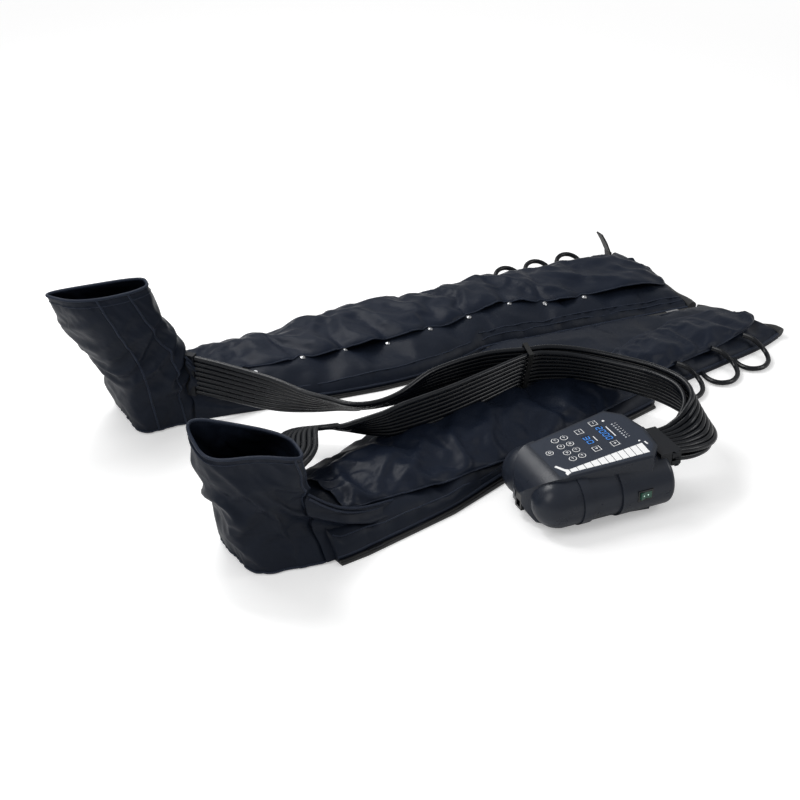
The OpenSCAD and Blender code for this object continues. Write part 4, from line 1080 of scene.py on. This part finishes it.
class PUMPSET_OT_gussets(bpy.types.Operator):
    """Makes the folded cloth that tapers from each foot section's side onto its leg"""

    bl_idname = "pumpset.gussets"
    bl_label = "Gussets"

    def execute(self, context):
        nylon = MATERIALS["coated_nylon"]
        for side, rings, leg, tall, reach in (("near", NEAR_BOOT, Leg(NEAR_LEG, NEAR_FLAP), 122, 165),
                                              ("far", FAR_BOOT, Leg(FAR_LEG, FAR_FLAP), 130, 150)):
            shell = BVHTree.FromObject(bpy.data.objects[f"{side}_boot_shell"],
                                       bpy.context.evaluated_depsgraph_get())

            def from_boot(w):
                ring = ring_between(rings, 3 + (tall - 3) * w)
                p = Vector(ring[2:4]).lerp(Vector(ring[4:6]), 0.86 + 0.06 * w)
                q = garment(p.x, p.y - 3, 3 + (tall - 3) * w)
                hit = shell.find_nearest(q)[0]
                return hit + (garment(0, -1.5) - garment(0, 0))

            def from_leg(w):
                x, y, z = leg.top(reach - 30 * w, 0.01 + 0.16 * w, 3.0)
                return garment(x, y - 2 * (1 - w), 1.0 + (z + 3) * w ** 0.6)

            def place(u, w):
                p = from_boot(w).lerp(from_leg(w), u)
                q = p * 1000
                belly = math.sin(math.pi * u) * math.sin(math.pi * min(1.0, w + 0.05))
                fold = 5 * math.sin(9 * w + 2.2 * u) + 6 * crinkle(q, 55, 1.9)
                fold = fold * math.sin(math.pi * u) * math.sin(math.pi * w)
                sag = 0.2 * tall * math.sin(math.pi * u) * w * (1 - 0.4 * u)
                out = garment(0, -1) - garment(0, 0)
                return p + out * (3 + 5 * belly + fold) - Vector((0, 0, sag * 0.001))

            bm, shares = cloth_grid(36, 22, place, GUSSET_FLAT)
            bmesh.ops.recalc_face_normals(bm, faces=bm.faces)
            top = sorted((u, v.index) for v, (u, w) in shares.items() if w > 0.999)
            obj = add_piece(f"{side}_gusset", bm, nylon)
            points = [obj.data.vertices[i].co.copy() for u, i in top]
            for n, drop in enumerate((0.0, 0.007)):
                line = [p + Vector((0, 0, 0.0012 - drop)) + (garment(0, -1) - garment(0, 0)) * drop * 200
                        for p in points]
                add_tube(f"{side}_gusset_piping_{n + 1}", line, 0.0018, MATERIALS["binding_nylon"])
            thicken(obj, 0.0016, 0.0)
            subdivide(obj)
        return {"FINISHED"}


def edge_line(stations, edge, first, last, inset, z, steps=8):
    """A line along a leg's near (0) or far (1) edge, inset along +Y in millimetres."""
    places = [Vector((*s[edge], 0)) for s in stations]
    points = [spline_at(places, i, j / steps) for i in range(first,
                                                             last) for j in range(steps)] + [places[last]]
    return [garment(p.x, p.y + inset, z) for p in points]


# Outline of a snap stud from its rim to its cap: radius and height in metres
STUD_RIM = 0.0046
STUD_RINGS = ((STUD_RIM, 0.0012), (0.004, 0.002), (0.0032, 0.0016), (0.0024, 0.0024), (0.001, 0.0029))


class PUMPSET_OT_trims(bpy.types.Operator):
    """Makes zips, piping, seams and the waist binding"""

    bl_idname = "pumpset.trims"
    bl_label = "Trims"

    def execute(self, context):
        coil = moulded("zip_coil", "#0d0e10", "#131417", 0.4, grain=0.0015, bump=0.3)
        tape = webbing("zip_tape", "#0c0d0f", "#15171a", 0.0016)
        band = webbing("webbing_tape", "#0d0e10", "#181a1e", 0.0022)
        for node in ("near_zip", "far_zip", "centre_zip"):
            dress(node, tape)
        dress("waist_strap", band)
        nylon = MATERIALS["binding_nylon"]
        for side, stations, first, last in (("near", NEAR_LEG, 0, 6), ("far", FAR_LEG, 1, 5)):
            end = len(stations) - 1
            add_tube(f"{side}_zip_coil", edge_line(stations, 0, first, last, -4.5, 4.6), 0.0018, coil)
            add_tube(f"{side}_near_piping", edge_line(stations, 0, 0, end, 2.2, 9.0), 0.0026, nylon)
            add_tube(f"{side}_far_piping", edge_line(stations, 1, 0, end, -2.2, 9.0), 0.0026, nylon)
        near, far = Leg(NEAR_LEG, NEAR_FLAP), Leg(FAR_LEG, FAR_FLAP)
        covers = {side: bpy.data.objects[f"{side}_leg_cover"] for side in ("near", "far")}
        seams = [("near", near, [(5.0, 0.955), (7.0, 0.95), (9.9, 0.94)]),
                 ("near", near, [(0.2, 0.10), (2, 0.04), (5, 0.035)]),
                 ("far", far, [(6.0, 0.045), (8.0, 0.05), (10.9, 0.06)]),
                 ("far", far, [(0.3, 0.06), (2.5, 0.05), (5.6, 0.045)]),
                 ("far", far, [(6.0, 0.085), (8.0, 0.09), (10.9, 0.10)])]
        for n, (side, leg, stops) in enumerate(seams):
            surface_seam(f"leg_seam_{n + 1}", leg, covers[side], stops, 0.0012, nylon)
        for n, (a, b) in enumerate(((NEAR_LEG[-1][0], NEAR_LEG[-1][1]), (FAR_LEG[-1][0], FAR_LEG[-1][1]))):
            a, b = Vector(a), Vector(b)
            run = (b - a).normalized()
            out = Vector((run.y, -run.x))
            points = []
            for k in range(25):
                p = a.lerp(b, k / 24) + out * (7.5 + 2 * math.sin(k * 0.9 + n))
                points.append(garment(p.x, p.y, 9 + 1.5 * math.sin(k * 0.7)))
            add_tube(f"waist_roll_{n + 1}", points, 0.0095, band, ("waist_binding",),
                     sides=5)
        # Snap studs on the cloth along the far flap's edge: a rolled rim round a low cap
        tree = BVHTree.FromObject(covers["far"], bpy.context.evaluated_depsgraph_get())
        bm = bmesh.new()
        for station, share in zip(STUDS, STUD_SHARES):
            x, y, z = far.top(far.along(station), share)
            spot = garment(x, y, z)
            hit, normal = tree.ray_cast(Vector((spot.x, spot.y, 0.5)), Vector((0, 0, -1)))[:2]
            seat = Matrix.Translation(hit) @ normal.to_track_quat("Z", "Y").to_matrix().to_4x4()
            foot = bmesh.ops.create_circle(bm, cap_ends=False, segments=24, radius=STUD_RIM)["verts"]
            rings = [foot]
            for radius, high in STUD_RINGS:
                edges = [e for e in bm.edges if e.verts[0] in rings[-1] and e.verts[1] in rings[-1]]
                grown = [g for g in bmesh.ops.extrude_edge_only(bm, edges=edges)["geom"]
                         if isinstance(g, bmesh.types.BMVert)]
                for v in grown:
                    flat = Vector((v.co.x, v.co.y, 0)).normalized() * radius
                    v.co = Vector((flat.x, flat.y, high))
                rings.append(grown)
            bmesh.ops.contextual_create(bm, geom=rings[-1])
            bmesh.ops.transform(bm, matrix=seat, verts=[v for ring in rings for v in ring])
        bmesh.ops.recalc_face_normals(bm, faces=bm.faces)
        add_piece("stud_caps", bm, MATERIALS["nickel_plate"], ("snap_studs",))
        dress("near_jumper_tubes", MATERIALS["extruded_tpu"])
        dress("far_jumper_tubes", MATERIALS["extruded_tpu"])
        return {"FINISHED"}


# ---------- Panel and registration ----------


STEPS = (PUMPSET_OT_stage, PUMPSET_OT_hoses, PUMPSET_OT_finishes, PUMPSET_OT_face_print, PUMPSET_OT_legs,
         PUMPSET_OT_flaps, PUMPSET_OT_boots, PUMPSET_OT_gussets, PUMPSET_OT_trims)
GROUPS = {"pumpset_pump": PumpLooks, "pumpset_hoses": HoseLooks, "pumpset_trousers": TrouserLooks,
          "pumpset_stage": StageLooks}


class PUMPSET_PT_panel(bpy.types.Panel):
    """Lists the pump set's steps and sizes"""

    bl_idname = "PUMPSET_PT_panel"
    bl_label = "Pump set"
    bl_space_type = "VIEW_3D"
    bl_region_type = "UI"
    bl_category = "Pump set"

    def draw(self, context):
        for step in STEPS:
            self.layout.operator(step.bl_idname)
        for name, group in GROUPS.items():
            column = self.layout.column()
            for key in group.__annotations__:
                column.prop(getattr(context.scene, name), key)


def register():
    for cls in (*GROUPS.values(), *STEPS, PUMPSET_PT_panel):
        bpy.utils.register_class(cls)
    for name, group in GROUPS.items():
        setattr(bpy.types.Scene, name, PointerProperty(type=group))


def unregister():
    for name in GROUPS:
        delattr(bpy.types.Scene, name)
    for cls in reversed((*GROUPS.values(), *STEPS, PUMPSET_PT_panel)):
        bpy.utils.unregister_class(cls)


def main():
    register()
    for step in STEPS:
        group, name = step.bl_idname.split(".")
        getattr(getattr(bpy.ops, group), name)()


if __name__ == "__main__":
    main()
